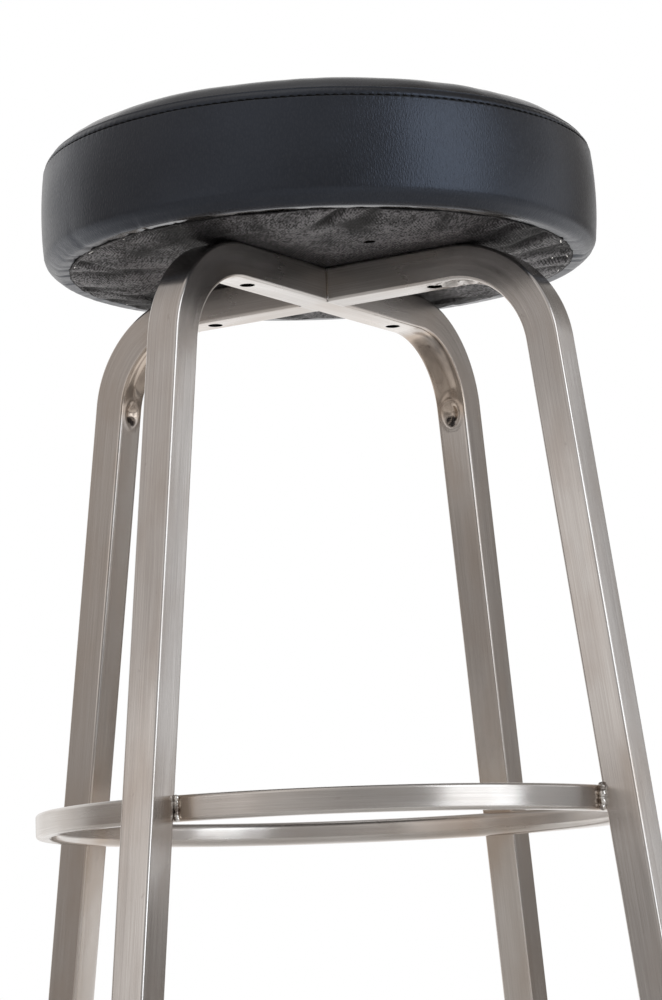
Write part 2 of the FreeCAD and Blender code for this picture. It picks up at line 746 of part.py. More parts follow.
# Dust cover: woven fabric over the underside, open at the screws and the vent
cover_body = seat_body(
    "Cover",
    [
        ("0", "0"), ("Dims.CoverFlatRadius", "0"), ("Dims.CoverRadius", "Dims.CoverRise"),
        ("Dims.CoverRadius", "Dims.CoverRise + Dims.CoverThickness"),
        ("Dims.CoverFlatRadius", "Dims.CoverThickness"), ("0", "Dims.CoverThickness"),
    ],
)
drill(
    cover_body, "CoverScrewHole",
    [("Dims.ScrewCircle * cos(45)", "Dims.ScrewCircle * sin(45)", "Dims.ScrewHoleDiameter / 2")],
    "-Dims.Overrun", "Dims.CoverThickness + 2 * Dims.Overrun", "Dims.LegCount",
)
drill(
    cover_body, "VentHole",
    [("Dims.VentRadius * cos(Dims.VentAngle)", "Dims.VentRadius * sin(Dims.VentAngle)", "Dims.VentDiameter / 2")],
    "-Dims.Overrun", "Dims.CoverThickness + 2 * Dims.Overrun",
)
node(cut("DustCover", cover_body, all_staples), "dust_cover")

doc.recompute()

# Nothing is written unless every object is sound
for item in doc.Objects:
    if "Invalid" in item.State or "Error" in item.State:
        raise RuntimeError(f"{item.Label} failed: {item.State}")
for item in nodes:
    if item.Shape.isNull() or not item.Shape.isValid():
        raise RuntimeError(f"{item.Label} has no sound shape")
    bounds = item.Shape.optimalBoundingBox()
    print(
        f"{item.Label}: {len(item.Shape.Solids)} solids, {item.Shape.Volume:.0f} mm3,"
        f" z {bounds.ZMin:.1f} to {bounds.ZMax:.1f}, right {bounds.XMax:.1f}"
    )

os.makedirs("parts", exist_ok=True)
for item in nodes:
    item.Shape.exportStep(f"parts/{item.Label}.step")
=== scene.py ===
"""Looks of a bar stool: padded leather seat, brushed square tube, foot ring, welds. Lengths are in metres."""
import bpy
import random
import numpy as np
from math import atan2, copysign, cos, hypot, pi, radians, sin, sqrt, tan, tau
from mathutils import Matrix, Vector, noise
from mathutils.bvhtree import BVHTree


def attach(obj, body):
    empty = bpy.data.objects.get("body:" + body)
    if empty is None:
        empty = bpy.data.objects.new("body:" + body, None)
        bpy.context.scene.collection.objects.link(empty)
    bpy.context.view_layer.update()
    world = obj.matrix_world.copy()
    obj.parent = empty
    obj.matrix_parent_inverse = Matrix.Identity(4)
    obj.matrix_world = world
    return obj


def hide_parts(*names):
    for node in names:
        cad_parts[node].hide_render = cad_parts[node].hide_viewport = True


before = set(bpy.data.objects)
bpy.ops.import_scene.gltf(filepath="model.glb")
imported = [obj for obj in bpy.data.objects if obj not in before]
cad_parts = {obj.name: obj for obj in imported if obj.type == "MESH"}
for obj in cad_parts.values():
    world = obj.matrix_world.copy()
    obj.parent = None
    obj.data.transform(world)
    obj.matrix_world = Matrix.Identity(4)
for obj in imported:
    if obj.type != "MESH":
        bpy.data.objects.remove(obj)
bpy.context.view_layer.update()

# Camera, matched to the edges of the tubes and the ring; its angles are in degrees
IMAGE_HEIGHT = 1000
FOCAL_PIXELS = 3203.7
SENSOR = 36
CAMERA_PLACE = (-0.46405, -2.20211, 0.16888)
CAMERA_HEADING = 11.92
CAMERA_PITCH = 8.73
CAMERA_ROLL = -2.18

# Tubes: the same sizes as the solids, and the legs' directions in degrees
ARM_TOP = 0.680
TUBE = 0.025
WALL = 0.0015
CORNER = 0.0022
INNER_CORNER = 0.0007
SPLAY = radians(7.75)
LEG_FACE = 0.187
BEND_OUTER = 0.085
HOLE_CIRCLE = 0.0943
ACCESS_HOLE = 0.0106
SCREW_HOLE = 0.0066
CUT_SPARE = 0.004
SOLE = 0.005
PLUG_TOP = 0.022
PLUG_HALF = 0.01085
BEND_MIDDLE = BEND_OUTER - TUBE / 2
BEND_START = LEG_FACE - BEND_OUTER * (1 - sin(SPLAY)) / cos(SPLAY)
BEND_Z = ARM_TOP - BEND_OUTER
BEND_END = BEND_START + BEND_MIDDLE * (pi / 2 - SPLAY)
OUTER_WALL = (TUBE / 2, CORNER)
INNER_WALL = (TUBE / 2 - WALL, INNER_CORNER)
LEGS = {"front_right": -45, "rear_right": 45, "rear_left": 135, "front_left": -135}

# Inner wall: how deep and how wide it is crushed in a bend, and how the dents' rims stand out
CRUSH_DEPTH, CRUSH_HALF = 0.0021, 0.0092
RIM_SHARE, RIM_PLACE, RIM_WIDTH = 0.12, 1.12, 0.13

# Dents pressed into the inner wall: distance along, half length, half width, depth
LOW_DENT = (BEND_END + 0.0035, 0.0105, 0.0072, 0.0036)
DENTS = {
    "front_right": [(0.1078, 0.0098, 0.0080, 0.0044), (0.1243, 0.0068, 0.0070, 0.0034), LOW_DENT],
    "rear_right": [(0.152, 0.003, 0.003, 0.0006), LOW_DENT],
    "rear_left": [LOW_DENT],
    "front_left": [LOW_DENT],
}

# Foot ring and its welds; the place of its joint is in degrees
RING_TOP = 0.298
RING_HEIGHT = 0.017
RING_THICK = 0.0135
RING_OUTER = LEG_FACE + (ARM_TOP - RING_TOP) * tan(SPLAY) - TUBE / cos(SPLAY) - 0.0001
RING_OUTER_CORNER, RING_INNER_CORNER = 0.0025, 0.0055
RING_COLUMNS = 240
RING_JOINT = 117.7
RING_WELD_OUT, RING_WELD_SIDE = 0.0010, 0.0134
PLAIN_BEAD = {"radius": 0.0024, "rough": 0.18, "pitch": 0.0034, "waist": 0.7}
LUMPY_BEAD = {"radius": 0.0029, "rough": 0.30, "pitch": 0.0046, "waist": 0.95}

# Seat: heights are over the arms, and BOARD and WIDEST are each a radius and a height. The underside's sag
# ends between the heights of SAG_RISE and lessens between the radii of SAG_FADE. WEAVE_TURNS, STITCH_SLANT
# and STAPLE_TWIST are in degrees.
COVER_FLAT = 0.150
COVER_EDGE = 0.180
COVER_RISE = 0.0045
COVER_THICK = 0.0008
VENT_OUT, VENT_SIDE, VENT_RADIUS = 0.104, radians(-82.8), 0.004
WEAVE_TURNS, WEAVE_ROW = (29, -5), 0.0021
FLOAT_WIDTH, FLOAT_LENGTH = 0.00095, 0.0027
FLAP = 0.157
LEATHER = 0.0012
BOARD = (0.186, 0.0158)
EDGE_START = 0.1885
EDGE_TOP = 0.0145
EDGE_RADIUS = 0.0098
SAG, SAG_SIDE = 0.0026, radians(-118)
SAG_RISE, SAG_FADE = (0.008, 0.036), (0.1870, 0.1940)
RING_FLAT, RING_FLAT_WIDE = 0.16, 0.0073
PULL_SIDE = radians(-12)
WIDEST = (0.1994, 0.041)
BULGE = 0.240
STITCH_HEIGHT = 0.076
SHOULDER, SHOULDER_START, SHOULDER_END = 0.042, radians(58), radians(16)
BLEND = 0.209
CROWN_EDGE = radians(4)
SEAM_STEP = 0.0074
SEAM_ROLL, SEAM_ROLL_WIDTH = 0.0006, 0.0007
SKIN_COLUMNS = 840
PAD_ROWS, PAD_COLUMNS = 70, 120
PAD_INSET, PAD_VOXEL, PAD_PRESSURE, PAD_FRAMES = 0.0030, 0.0055, 4, 20
PAD_CAP, PAD_DEPTH, PAD_HELD_BELOW = 0.008, 0.016, 0.017
PAD_SHARE, PAD_LIMIT = 0.35, 0.0015
FOAM_GAP = 0.0006
STITCHES = 210
STITCH_RADIUS, STITCH_LENGTH, STITCH_SLANT = 0.00042, 0.0046, 14
STAPLES = 24
STAPLE_CIRCLE = 0.177
STAPLE_WIDTH, STAPLE_THICKNESS = 0.00036, 0.0003
STAPLE_HALF, STAPLE_LEG, STAPLE_TWIST, STAPLE_TIP = 0.0049, 0.007, 14, 0.11


def turn(points, degrees):
    """Points turned about the stool's upright axis."""
    a = radians(degrees)
    x, y, z = points[..., 0], points[..., 1], points[..., 2]
    return np.stack([x * cos(a) - y * sin(a), x * sin(a) + y * cos(a), z], -1)


def polar(radius, angle, height):
    """Points from radii, angles and heights that fit each other's shapes."""
    return np.stack(np.broadcast_arrays(radius * np.cos(angle), radius * np.sin(angle), height), -1)


def circle(count):
    """Angles at even steps once round."""
    return np.linspace(0, tau, count, endpoint=False)


def wrapped(angle):
    """The same direction as an angle between -pi and pi."""
    return (angle + pi) % tau - pi


def runs(*stretches):
    """Rising places in stretches, each a start, an end and a count."""
    return np.unique(np.concatenate([np.linspace(*stretch) for stretch in stretches]))


def round_lengths(points):
    """Distances round a closed outline."""
    steps = np.linalg.norm(np.roll(points, -1, 0) - points, axis=1)
    return np.concatenate([[0], np.cumsum(steps)])


def smooth(low, high, value):
    t = np.clip((value - low) / (high - low), 0, 1)
    return t * t * (3 - 2 * t)


def plateau(low, full, still_full, end, value):
    """Rises from 0 to 1 between two values and falls back between two others."""
    return smooth(low, full, value) * (1 - smooth(still_full, end, value))


def hump(value, width):
    """A bell curve with a height of 1."""
    return np.exp(-((value / width) ** 2))


def off_legs(angles):
    """Degrees from the direction of the nearest leg."""
    return np.abs(np.degrees(angles) % 90 - 45)


def sag_at(angles):
    """How far the seat's underside hangs down at each side."""
    return SAG * (0.5 + 0.5 * np.cos(angles - SAG_SIDE))


def noise_at(points, scale, seed=0):
    """Smooth noise from -1 to 1 at each point."""
    flat = (points.reshape(-1, 3) * scale + seed * 17.3).tolist()
    return np.array([noise.noise(p) for p in flat]).reshape(points.shape[:-1])


def add_object(name, data):
    item = bpy.data.objects.new(name, data)
    bpy.context.scene.collection.objects.link(item)
    return item


class Shell:
    """Gathers closed rows of points into one mesh, with a coordinate in metres along and round it."""

    def __init__(self, name):
        self.name = name
        self.points, self.faces, self.places, self.tints_and_painted_light = [], [], [], []

    def grid(self, points, along, across, flip=False, tint_and_painted_light=None):
        """Adds rows; along has a value for each row, across one for each column and one more."""
        rows, columns = points.shape[:2]
        first = len(self.points)
        self.points += points.reshape(-1, 3).tolist()
        self.tints_and_painted_light += list(np.zeros(rows * columns) if tint_and_painted_light is None else tint_and_painted_light.reshape(-1))
        for i in range(rows - 1):
            for j in range(columns):
                k = (j + 1) % columns
                face = [(i, j, j), (i + 1, j, j), (i + 1, k, j + 1), (i, k, j + 1)]
                if flip:
                    face.reverse()
                self.faces.append([first + r * columns + c for r, c, _ in face])
                self.places += [(along[r], across[q]) for r, _, q in face]
        return [[first + r * columns + c for c in range(columns)] for r in (0, rows - 1)]

    def strip(self, one, other):
        """Faces between two loops of the same length."""
        for j in range(len(one)):
            k = (j + 1) % len(one)
            self.faces.append([one[j], one[k], other[k], other[j]])
            self.places += [(0, 0)] * 4

    def fan(self, loop, centre, flip=False):
        """Closes a loop to one point."""
        middle = len(self.points)
        self.points.append(list(centre))
        self.tints_and_painted_light.append(0)
        for j in range(len(loop)):
            face = [loop[j], loop[(j + 1) % len(loop)], middle]
            self.faces.append(face[::-1] if flip else face)
            self.places += [(0, 0)] * 3

    def closed(self, points, along, across, centres=None, flip=False, tint_and_painted_light=None):
        """A grid closed at both ends, to the centres or else to the end rows' middles."""
        ends = self.grid(points, along, across, flip, tint_and_painted_light)
        low, high = centres or (points[0].mean(0), points[-1].mean(0))
        self.fan(ends[0], low, flip)
        self.fan(ends[1], high, not flip)

    def added(self, sharp=35, swapped=False):
        """The object, sharp past an angle; swapped puts the coordinate round it first."""
        mesh = bpy.data.meshes.new(self.name)
        mesh.from_pydata(self.points, [], self.faces)
        places = np.array(self.places, np.float32)
        places = places[:, ::-1] if swapped else places
        mesh.uv_layers.new(name="Place").data.foreach_set("uv", places.reshape(-1))
        tint_and_painted_light = mesh.attributes.new("Tint_and_painted_light", "FLOAT", "POINT")
        tint_and_painted_light.data.foreach_set("value", np.array(self.tints_and_painted_light, np.float32))
        mesh.shade_smooth()
        mesh.set_sharp_from_angle(angle=radians(sharp))
        mesh.validate()
        return add_object(self.name, mesh)


def applied(obj):
    """The object with its modifiers' result as its mesh."""
    graph = bpy.context.evaluated_depsgraph_get()
    result = obj.evaluated_get(graph)
    mesh = bpy.data.meshes.new_from_object(result, preserve_all_data_layers=True, depsgraph=graph)
    obj.modifiers.clear()
    obj.data = mesh
    return obj


def finished(item, material, slot, *stands_for):
    """Gives a piece its material and its body, and hides the imported nodes that it stands for; slot is not
    used.
    """
    item.data.materials.clear()
    item.data.materials.append(material)
    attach(item, "root")
    if stands_for:
        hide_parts(*stands_for)
    return item


def cylinder(name, radius, low, high, x, y, sides=48):
    """A plain upright cutter."""
    shell = Shell(name)
    rows = np.stack([polar(radius, circle(sides), z) for z in (low, high)]) + (x, y, 0)
    shell.closed(rows, (0, 0), np.zeros(sides + 1), flip=True)
    return shell


def drilled(item, cutters):
    """Cuts upright holes and drops the cutters."""
    for shell in cutters:
        cutter = shell.added()
        cut = item.modifiers.new("Cut", "BOOLEAN")
        cut.object, cut.solver = cutter, "EXACT"
        applied(item)
        bpy.data.objects.remove(cutter)
    return item


class Nodes:
    """Short calls for the nodes of a material or of the world."""

    def __init__(self, owner):
        owner.use_nodes = True
        self.tree = owner.node_tree
        self.tree.nodes.clear()

    def plug(self, socket, value):
        """Links an output, or sets a number, a vector or a colour."""
        if isinstance(value, bpy.types.NodeSocket):
            self.tree.links.new(value, socket)
        else:
            socket.default_value = (*value, 1) if socket.type == "RGBA" else value

    def add(self, kind, inputs=None, **settings):
        item = self.tree.nodes.new("ShaderNode" + kind)
        for key, value in settings.items():
            setattr(item, key, value)
        for key, value in (inputs or {}).items():
            self.plug(item.inputs[key], value)
        return item

    def mapped(self, vector, scale, turned):
        rotation = (0, 0, radians(turned))
        return self.add("Mapping", {"Vector": vector, "Scale": scale, "Rotation": rotation}).outputs[0]

    def on_skin(self, *scale):
        """The place along and across the piece, stretched."""
        return self.mapped(self.add("UVMap", uv_map="Place").outputs[0], (*scale, 1), 0)

    def in_space(self, scale=(1, 1, 1), turned=0):
        """The place in space, stretched and turned."""
        return self.mapped(self.add("TexCoord").outputs["Object"], scale, turned)

    def part(self, vector, index):
        return self.add("SeparateXYZ", {0: vector}).outputs[index]

    def grain(self, vector, scale=1, detail=2, rough=0.5):
        inputs = {"Vector": vector, "Scale": scale, "Detail": detail, "Roughness": rough}
        return self.add("TexNoise", inputs).outputs["Fac"]

    def spots(self, scale, detail=2):
        """Noise in space."""
        return self.grain(self.in_space(), scale, detail)

    def streaks(self, along, across, detail=2, rough=0.5):
        """Noise drawn out along or across the piece."""
        return self.grain(self.on_skin(along, across), 1, detail, rough)

    def cells(self, vector, scale, feature="F1"):
        cells = self.add("TexVoronoi", {"Vector": vector, "Scale": scale}, feature=feature)
        return cells.outputs["Distance"]

    def span(self, value, low, high, to_low=0, to_high=1):
        """Maps a value from one range to another, held at the ends."""
        return self.add("MapRange", {0: value, 1: low, 2: high, 3: to_low, 4: to_high}).outputs[0]

    def calc(self, operation, one, other=0.5, third=0.5):
        return self.add("Math", {0: one, 1: other, 2: third}, operation=operation).outputs[0]

    def times(self, one, other):
        return self.calc("MULTIPLY", one, other)

    def shares(self, one, share, other, other_share):
        """Two values added, each times its share."""
        return self.calc("ADD", self.times(one, share), self.times(other, other_share))

    def blend(self, factor, one, other):
        return self.add("Mix", {0: factor, 6: one, 7: other}, data_type="RGBA").outputs[2]

    def either(self, factor, one, other):
        """One shader at 0, the other at 1."""
        return self.add("MixShader", {0: factor, 1: one, 2: other}).outputs[0]


class Look(Nodes):
    """A material of one principled shader."""

    def __init__(self, name, **inputs):
        self.material = bpy.data.materials.new(name)
        super().__init__(self.material)
        self.shader = self.add("BsdfPrincipled", {k.replace("_", " "): v for k, v in inputs.items()})
        self.output = self.add("OutputMaterial", {"Surface": self.shader.outputs[0]})

    def tint_and_painted_light(self):
        """What the mesh says at each point: heat tint, soot, tautness, and painted light and shade: a painted
        highlight on taut leather, painted shade on the rear legs and the ring, painted light and shade on the
        cloth.
        """
        return self.add("Attribute", attribute_name="Tint_and_painted_light").outputs["Fac"]

    def done(self, colour, roughness=None, bumps=()):
        """The material with its colour, roughness and bumps, each a height, a strength and a depth."""
        self.plug(self.shader.inputs["Base Color"], colour)
        if roughness:
            self.plug(self.shader.inputs["Roughness"], roughness)
        for number, (height, strength, depth) in enumerate(bumps):
            bump = self.add("Bump", {"Height": height, "Strength": strength, "Distance": depth})
            if number:
                self.plug(bump.inputs["Normal"], normal)
            normal = bump.outputs[0]
        if bumps:
            self.plug(self.shader.inputs["Normal"], normal)
        return self.material


# Materials
def brushed_steel(name, light, dark, rough=(0.15, 0.25), ground_by=0.14):
    """Stainless steel brushed along the piece, with heat tints where it was welded or bent; the same tints
    paint shade on the rear legs and a darker reflection on the ring.
    """
    warm, stained = (0.47, 0.415, 0.375), (0.26, 0.22, 0.20)
    straw, burnt = (0.50, 0.415, 0.345), (0.09, 0.075, 0.065)
    look = Look(name, Metallic=1, Anisotropic=0.5, Anisotropic_Rotation=0.25)
    hair = look.streaks(14, 2600, 3, 0.6)
    streak = look.streaks(4, 620, 3)
    cloud = look.streaks(16, 34, 3)
    smear = look.streaks(9, 130)
    stain = look.streaks(60, 90, 4, 0.7)
    tone = look.shares(hair, 0.68, streak, 0.32)
    colour = look.blend(look.span(tone, 0.33, 0.67), dark, light)
    colour = look.blend(look.span(cloud, 0.45, 0.75, 0, 0.55), colour, warm)
    colour = look.blend(look.span(stain, 0.66, 0.76, 0, 0.5), colour, stained)
    burn = look.times(look.tint_and_painted_light(), look.span(cloud, 0.3, 0.7, 0.6, 1.15))
    colour = look.blend(look.span(burn, 0, 0.55, 0, 0.9), colour, straw)
    colour = look.blend(look.span(burn, 0.68, 1, 0, 0.92), colour, burnt)
    dull = look.span(look.shares(smear, 0.6, cloud, 0.4), 0.3, 0.7, *rough)
    crossing = look.calc("ABSOLUTE", look.part(look.on_skin(1, 1), 0))
    ground = look.span(crossing, 0.03, 0.13, ground_by, 0)
    tangent = look.add("Tangent", direction_type="UV_MAP", uv_map="Place")
    look.plug(look.shader.inputs["Tangent"], tangent.outputs[0])
    bumps = [(cloud, 0.24, 0.0005), (streak, 0.035, 0.0001), (hair, 0.12, 0.00003)]
    return look.done(colour, look.calc("ADD", dull, ground), bumps)


def weld_metal(name):
    """Bright weld bead with soot in its hollows."""
    look = Look(name, Metallic=1)
    lumps = look.spots(420)
    soot = look.spots(210, 3)
    colour = look.blend(look.span(soot, 0.44, 0.56), (0.78, 0.76, 0.73), (0.22, 0.19, 0.17))
    colour = look.blend(look.tint_and_painted_light(), colour, (0.03, 0.027, 0.025))
    return look.done(colour, look.span(lumps, 0.3, 0.7, 0.10, 0.25), [(lumps, 0.4, 0.0005)])


def leather_material(name):
    """Black artificial leather: a pebble grain drawn out upwards, smooth where it is taut, and painted
    lighter there as a painted highlight.
    """
    look = Look(name, Specular_IOR_Level=0.66, Specular_Tint=(0.64, 0.76, 1.0))
    place = look.on_skin(1050, 430)
    wander = look.add("TexNoise", {"Vector": place, "Scale": 0.45}).outputs["Color"]
    warp = look.add("VectorMath", {0: place, 1: wander}, operation="ADD").outputs[0]
    pebble = look.cells(warp, 1, "SMOOTH_F1")
    crease = look.cells(warp, 0.55, "DISTANCE_TO_EDGE")
    pores = look.streaks(3200, 2400)
    wear = look.streaks(26, 40, 4)
    taut = look.tint_and_painted_light()
    raised = look.span(taut, 0, 1, 1, 0.15)
    colour = look.blend(look.span(crease, 0, 0.25), (0.006, 0.005, 0.0045), (0.0115, 0.0105, 0.010))
    colour = look.blend(look.span(wear, 0.45, 0.75, 0, 0.4), colour, (0.016, 0.016, 0.018))
    # painted highlight: lighter colour where the leather is taut, on its lip and above the seam
    colour = look.blend(taut, colour, (0.032, 0.029, 0.027))
    dull = look.times(look.shares(pebble, 0.14, wear, 0.12), look.calc("SUBTRACT", 1, taut))
    return look.done(colour, look.calc("ADD", dull, look.span(taut, 0, 1, 0.22, 0.17)), [
        (wear, look.times(raised, 0.10), 0.0012), (crease, look.times(raised, 0.34), 0.00028),
        (pebble, look.times(raised, 0.48), -0.00026), (pores, 0.15, 0.00006),
    ])


def woven_material(name):
    """Coarse black cloth: rows of threads in two directions, crisp in places, with painted shade in the
    hollows and painted light on the ridges.
    """
    look = Look(name, Specular_IOR_Level=0.25)
    rows = []
    for turned in WEAVE_TURNS:
        wave = look.times(look.part(look.in_space(turned=turned), 0), tau / WEAVE_ROW)
        rows.append(look.span(look.calc("SINE", wave), -0.6, 0.6))
    way = look.span(look.spots(26), 0.40, 0.60)
    crisp = look.span(look.spots(40), 0.42, 0.66, 0.08, 0.62)
    twill = look.shares(rows[0], look.calc("SUBTRACT", 1, way), rows[1], way)
    twill = look.calc("MULTIPLY_ADD", look.calc("SUBTRACT", twill, 0.5), crisp, 0.5)
    floats = look.in_space((1 / FLOAT_WIDTH, 1 / FLOAT_LENGTH, 300))
    tones = look.add("TexVoronoi", {"Vector": floats, "Scale": 1}).outputs["Color"]
    own = look.add("SeparateColor", {0: tones}).outputs[0]
    speck = look.calc("MULTIPLY_ADD", own, 1.9, 0.05)
    # painted light and shade from the mesh scale the cloth's tone from dark to light
    tone = look.times(look.times(twill, speck), look.span(look.tint_and_painted_light(), 0, 1, 0.12, 1.6))
    colour = look.blend(tone, (0.0025, 0.0025, 0.0027), (0.118, 0.110, 0.120))
    return look.done(colour, look.span(tone, 0, 0.6, 0.75, 0.42), [(twill, 0.9, 0.0004), (own, 0.7, 0.0004)])


def thread_material(name):
    look = Look(name, Roughness=0.85, Specular_IOR_Level=0.2)
    twist = look.spots(1800)
    colour = look.blend(twist, (0.002, 0.002, 0.002), (0.005, 0.005, 0.005))
    return look.done(colour, bumps=[(twist, 0.4, 0.0001)])


def bright_wire(name, light, dark, rough):
    """Plated wire and screws, a little uneven."""
    look = Look(name, Metallic=1)
    spots = look.spots(500, 3)
    colour = look.blend(look.span(spots, 0.3, 0.7), light, dark)
    return look.done(colour, look.span(spots, 0.3, 0.7, rough, rough + 0.2), [(spots, 0.15, 0.0001)])


def moulded_plastic(name):
    look = Look(name)
    skin, scuff = look.spots(1400), look.spots(130, 4)
    worn = look.span(scuff, 0.52, 0.72)
    colour = look.blend(worn, (0.013, 0.013, 0.014), (0.04, 0.039, 0.037))
    return look.done(colour, look.span(worn, 0, 1, 0.38, 0.62), [(skin, 0.25, 0.0001), (scuff, 0.2, 0.0003)])


def plywood_material(name):
    """Birch plies at the edge and a long grain on the faces."""
    look = Look(name, Roughness=0.6)
    layers = {"Vector": look.in_space(), "Scale": 110, "Distortion": 0.4}
    plies = look.add("TexWave", layers, wave_type="BANDS", bands_direction="Z").outputs["Fac"]
    fibre = look.grain(look.in_space((18, 420, 420)), 1, 4)
    colour = look.blend(look.span(fibre, 0.35, 0.7), (0.60, 0.42, 0.24), (0.42, 0.27, 0.14))
    colour = look.blend(look.span(plies, 0.45, 0.55, 0, 0.4), colour, (0.30, 0.18, 0.09))
    return look.done(colour, bumps=[(fibre, 0.3, 0.0003)])


def foam_material(name):
    look = Look(name, Roughness=0.9)
    pores, tone = look.cells(look.in_space(), 900), look.spots(30, 3)
    colour = look.blend(tone, (0.62, 0.57, 0.42), (0.52, 0.46, 0.31))
    return look.done(colour, bumps=[(pores, 0.6, 0.0005)])


STEEL = brushed_steel("Brushed_steel", (0.68, 0.662, 0.648), (0.475, 0.452, 0.437))
RING_STEEL = brushed_steel("Ring_steel", (0.68, 0.655, 0.635), (0.51, 0.485, 0.46), (0.20, 0.30), 0)
WELD = weld_metal("Weld_metal")
LEATHER_SKIN = leather_material("Black_leather")
WOVEN = woven_material("Woven_cover")
THREAD = thread_material("Black_thread")
STAPLE_WIRE = bright_wire("Staple_wire", (0.80, 0.79, 0.76), (0.62, 0.60, 0.57), 0.12)
ZINC = bright_wire("Zinc", (0.62, 0.63, 0.66), (0.45, 0.46, 0.50), 0.25)
PLASTIC = moulded_plastic("Glide_plastic")
PLYWOOD = plywood_material("Plywood")
FOAM = foam_material("Foam")


# Tubes
def path(distance):
    """Centre of a leg's tube at a distance along it, with the directions along and outwards."""
    if distance < BEND_START:
        return np.array((distance, ARM_TOP - TUBE / 2)), np.array((1, 0)), np.array((0, 1))
    angle = min(distance - BEND_START, BEND_END - BEND_START) / BEND_MIDDLE
    along = np.array((cos(angle), -sin(angle)))
    out = np.array((sin(angle), cos(angle)))
    centre = np.array((BEND_START, BEND_Z)) + BEND_MIDDLE * out
    return centre + along * max(distance - BEND_END, 0), along, out


def square(half, corner, inner_cuts=14):
    """A rounded square's points as (outwards, sideways), from its outer face, and their distance round."""
    points = []
    flat = half - corner
    for side in range(4):
        a = side * pi / 2
        cuts = inner_cuts if side == 2 else 1
        corners = [(half, t) for t in np.linspace(-flat, flat, cuts + 1)[:-1]]
        corners += [(flat + corner * cos(b), flat + corner * sin(b)) for b in circle(20)[:5]]
        points += [(x * cos(a) - y * sin(a), x * sin(a) + y * cos(a)) for x, y in corners]
    points = np.array(points)
    return points, round_lengths(points)


def crush(distance, sideways, leg):
    """How far the inner wall is pressed in at a place along and across it."""
    t = (distance - BEND_START) / (BEND_END - BEND_START)
    amount = plateau(0.06, 0.28, 0.80, 0.97, t)
    depth = CRUSH_DEPTH * amount * np.clip(1 - (sideways / CRUSH_HALF) ** 2, 0, 1) ** 1.5
    for place, length, width, deep in DENTS[leg]:
        far = np.sqrt(((distance - place) / length) ** 2 + (sideways / width) ** 2)
        depth = depth + deep * (1 - smooth(0.15, 1, far) - RIM_SHARE * hump(far - RIM_PLACE, RIM_WIDTH))
    return depth


def stations(start, end):
    """Distances for a leg's rows: few where it is straight, many where it bends or is dented."""
    dented = BEND_END + 0.018
    return runs(
        (start, 0.092, 6), (0.094, BEND_START, 12), (BEND_START, BEND_END, 64), (BEND_END, dented, 14),
        (dented, end, 9),
    )


def leg_length(height):
    """Distance along the path at which its centre reaches a height."""
    centre, along, _ = path(BEND_END)
    return BEND_END + (centre[1] - height) / -along[1]


def leg_row(distance, outwards, sideways, level=None):
    """A leg's section at a distance, slid along the leg to one level if that is given."""
    centre, along, out = path(distance)
    xz = centre + np.outer(outwards, out)
    if level is not None:
        xz = xz + np.outer((xz[:, 1] - level) / -along[1], along)
    return np.column_stack([xz[:, 0], sideways, xz[:, 1]])


def leg_rows(distances, wall, leg):
    """Rows of one wall of a leg; the last is cut level above the glide."""
    half, corner = wall
    outwards, sideways = square(half, corner)[0].T
    inner_face = outwards < -half + corner * 0.5
    rows = []
    for distance in distances:
        pressed = outwards + np.where(inner_face, crush(distance, sideways, leg), 0)
        rows.append(leg_row(distance, pressed, sideways, SOLE if distance == distances[-1] else None))
    return turn(np.array(rows), LEGS[leg])


def tint_and_painted_shade_along(distances, leg):
    """Heat tint: straw and brown on the bend's inner wall, dark beside the ring's welds; and painted shade,
    warmer and darker, over the whole of the rear legs.
    """
    rear = leg.startswith("rear")
    inner = smooth(0.84, 0.98, -square(*OUTER_WALL)[0][:, 0] / (TUBE / 2))
    t = (distances - BEND_START) / (BEND_END - BEND_START)
    bend = plateau(0.05, 0.3, 0.95, 1.15, t) * (0.72 if rear else 0.25)
    near = hump(distances - leg_length(RING_TOP - RING_HEIGHT / 2), 0.022)
    # painted shade: the rear legs warmer and darker all along
    rear_painted_shade = 0.17 if rear else 0.0
    return np.clip(rear_painted_shade + np.outer(bend, inner) + np.outer(near, 0.10 + 0.3 * inner), 0, 1)


def weighted(item):
    """Keeps the flats flat beside their rounded corners."""
    modifier = item.modifiers.new("Normals", "WEIGHTED_NORMAL")
    modifier.keep_sharp, modifier.weight = True, 60
    return applied(item)


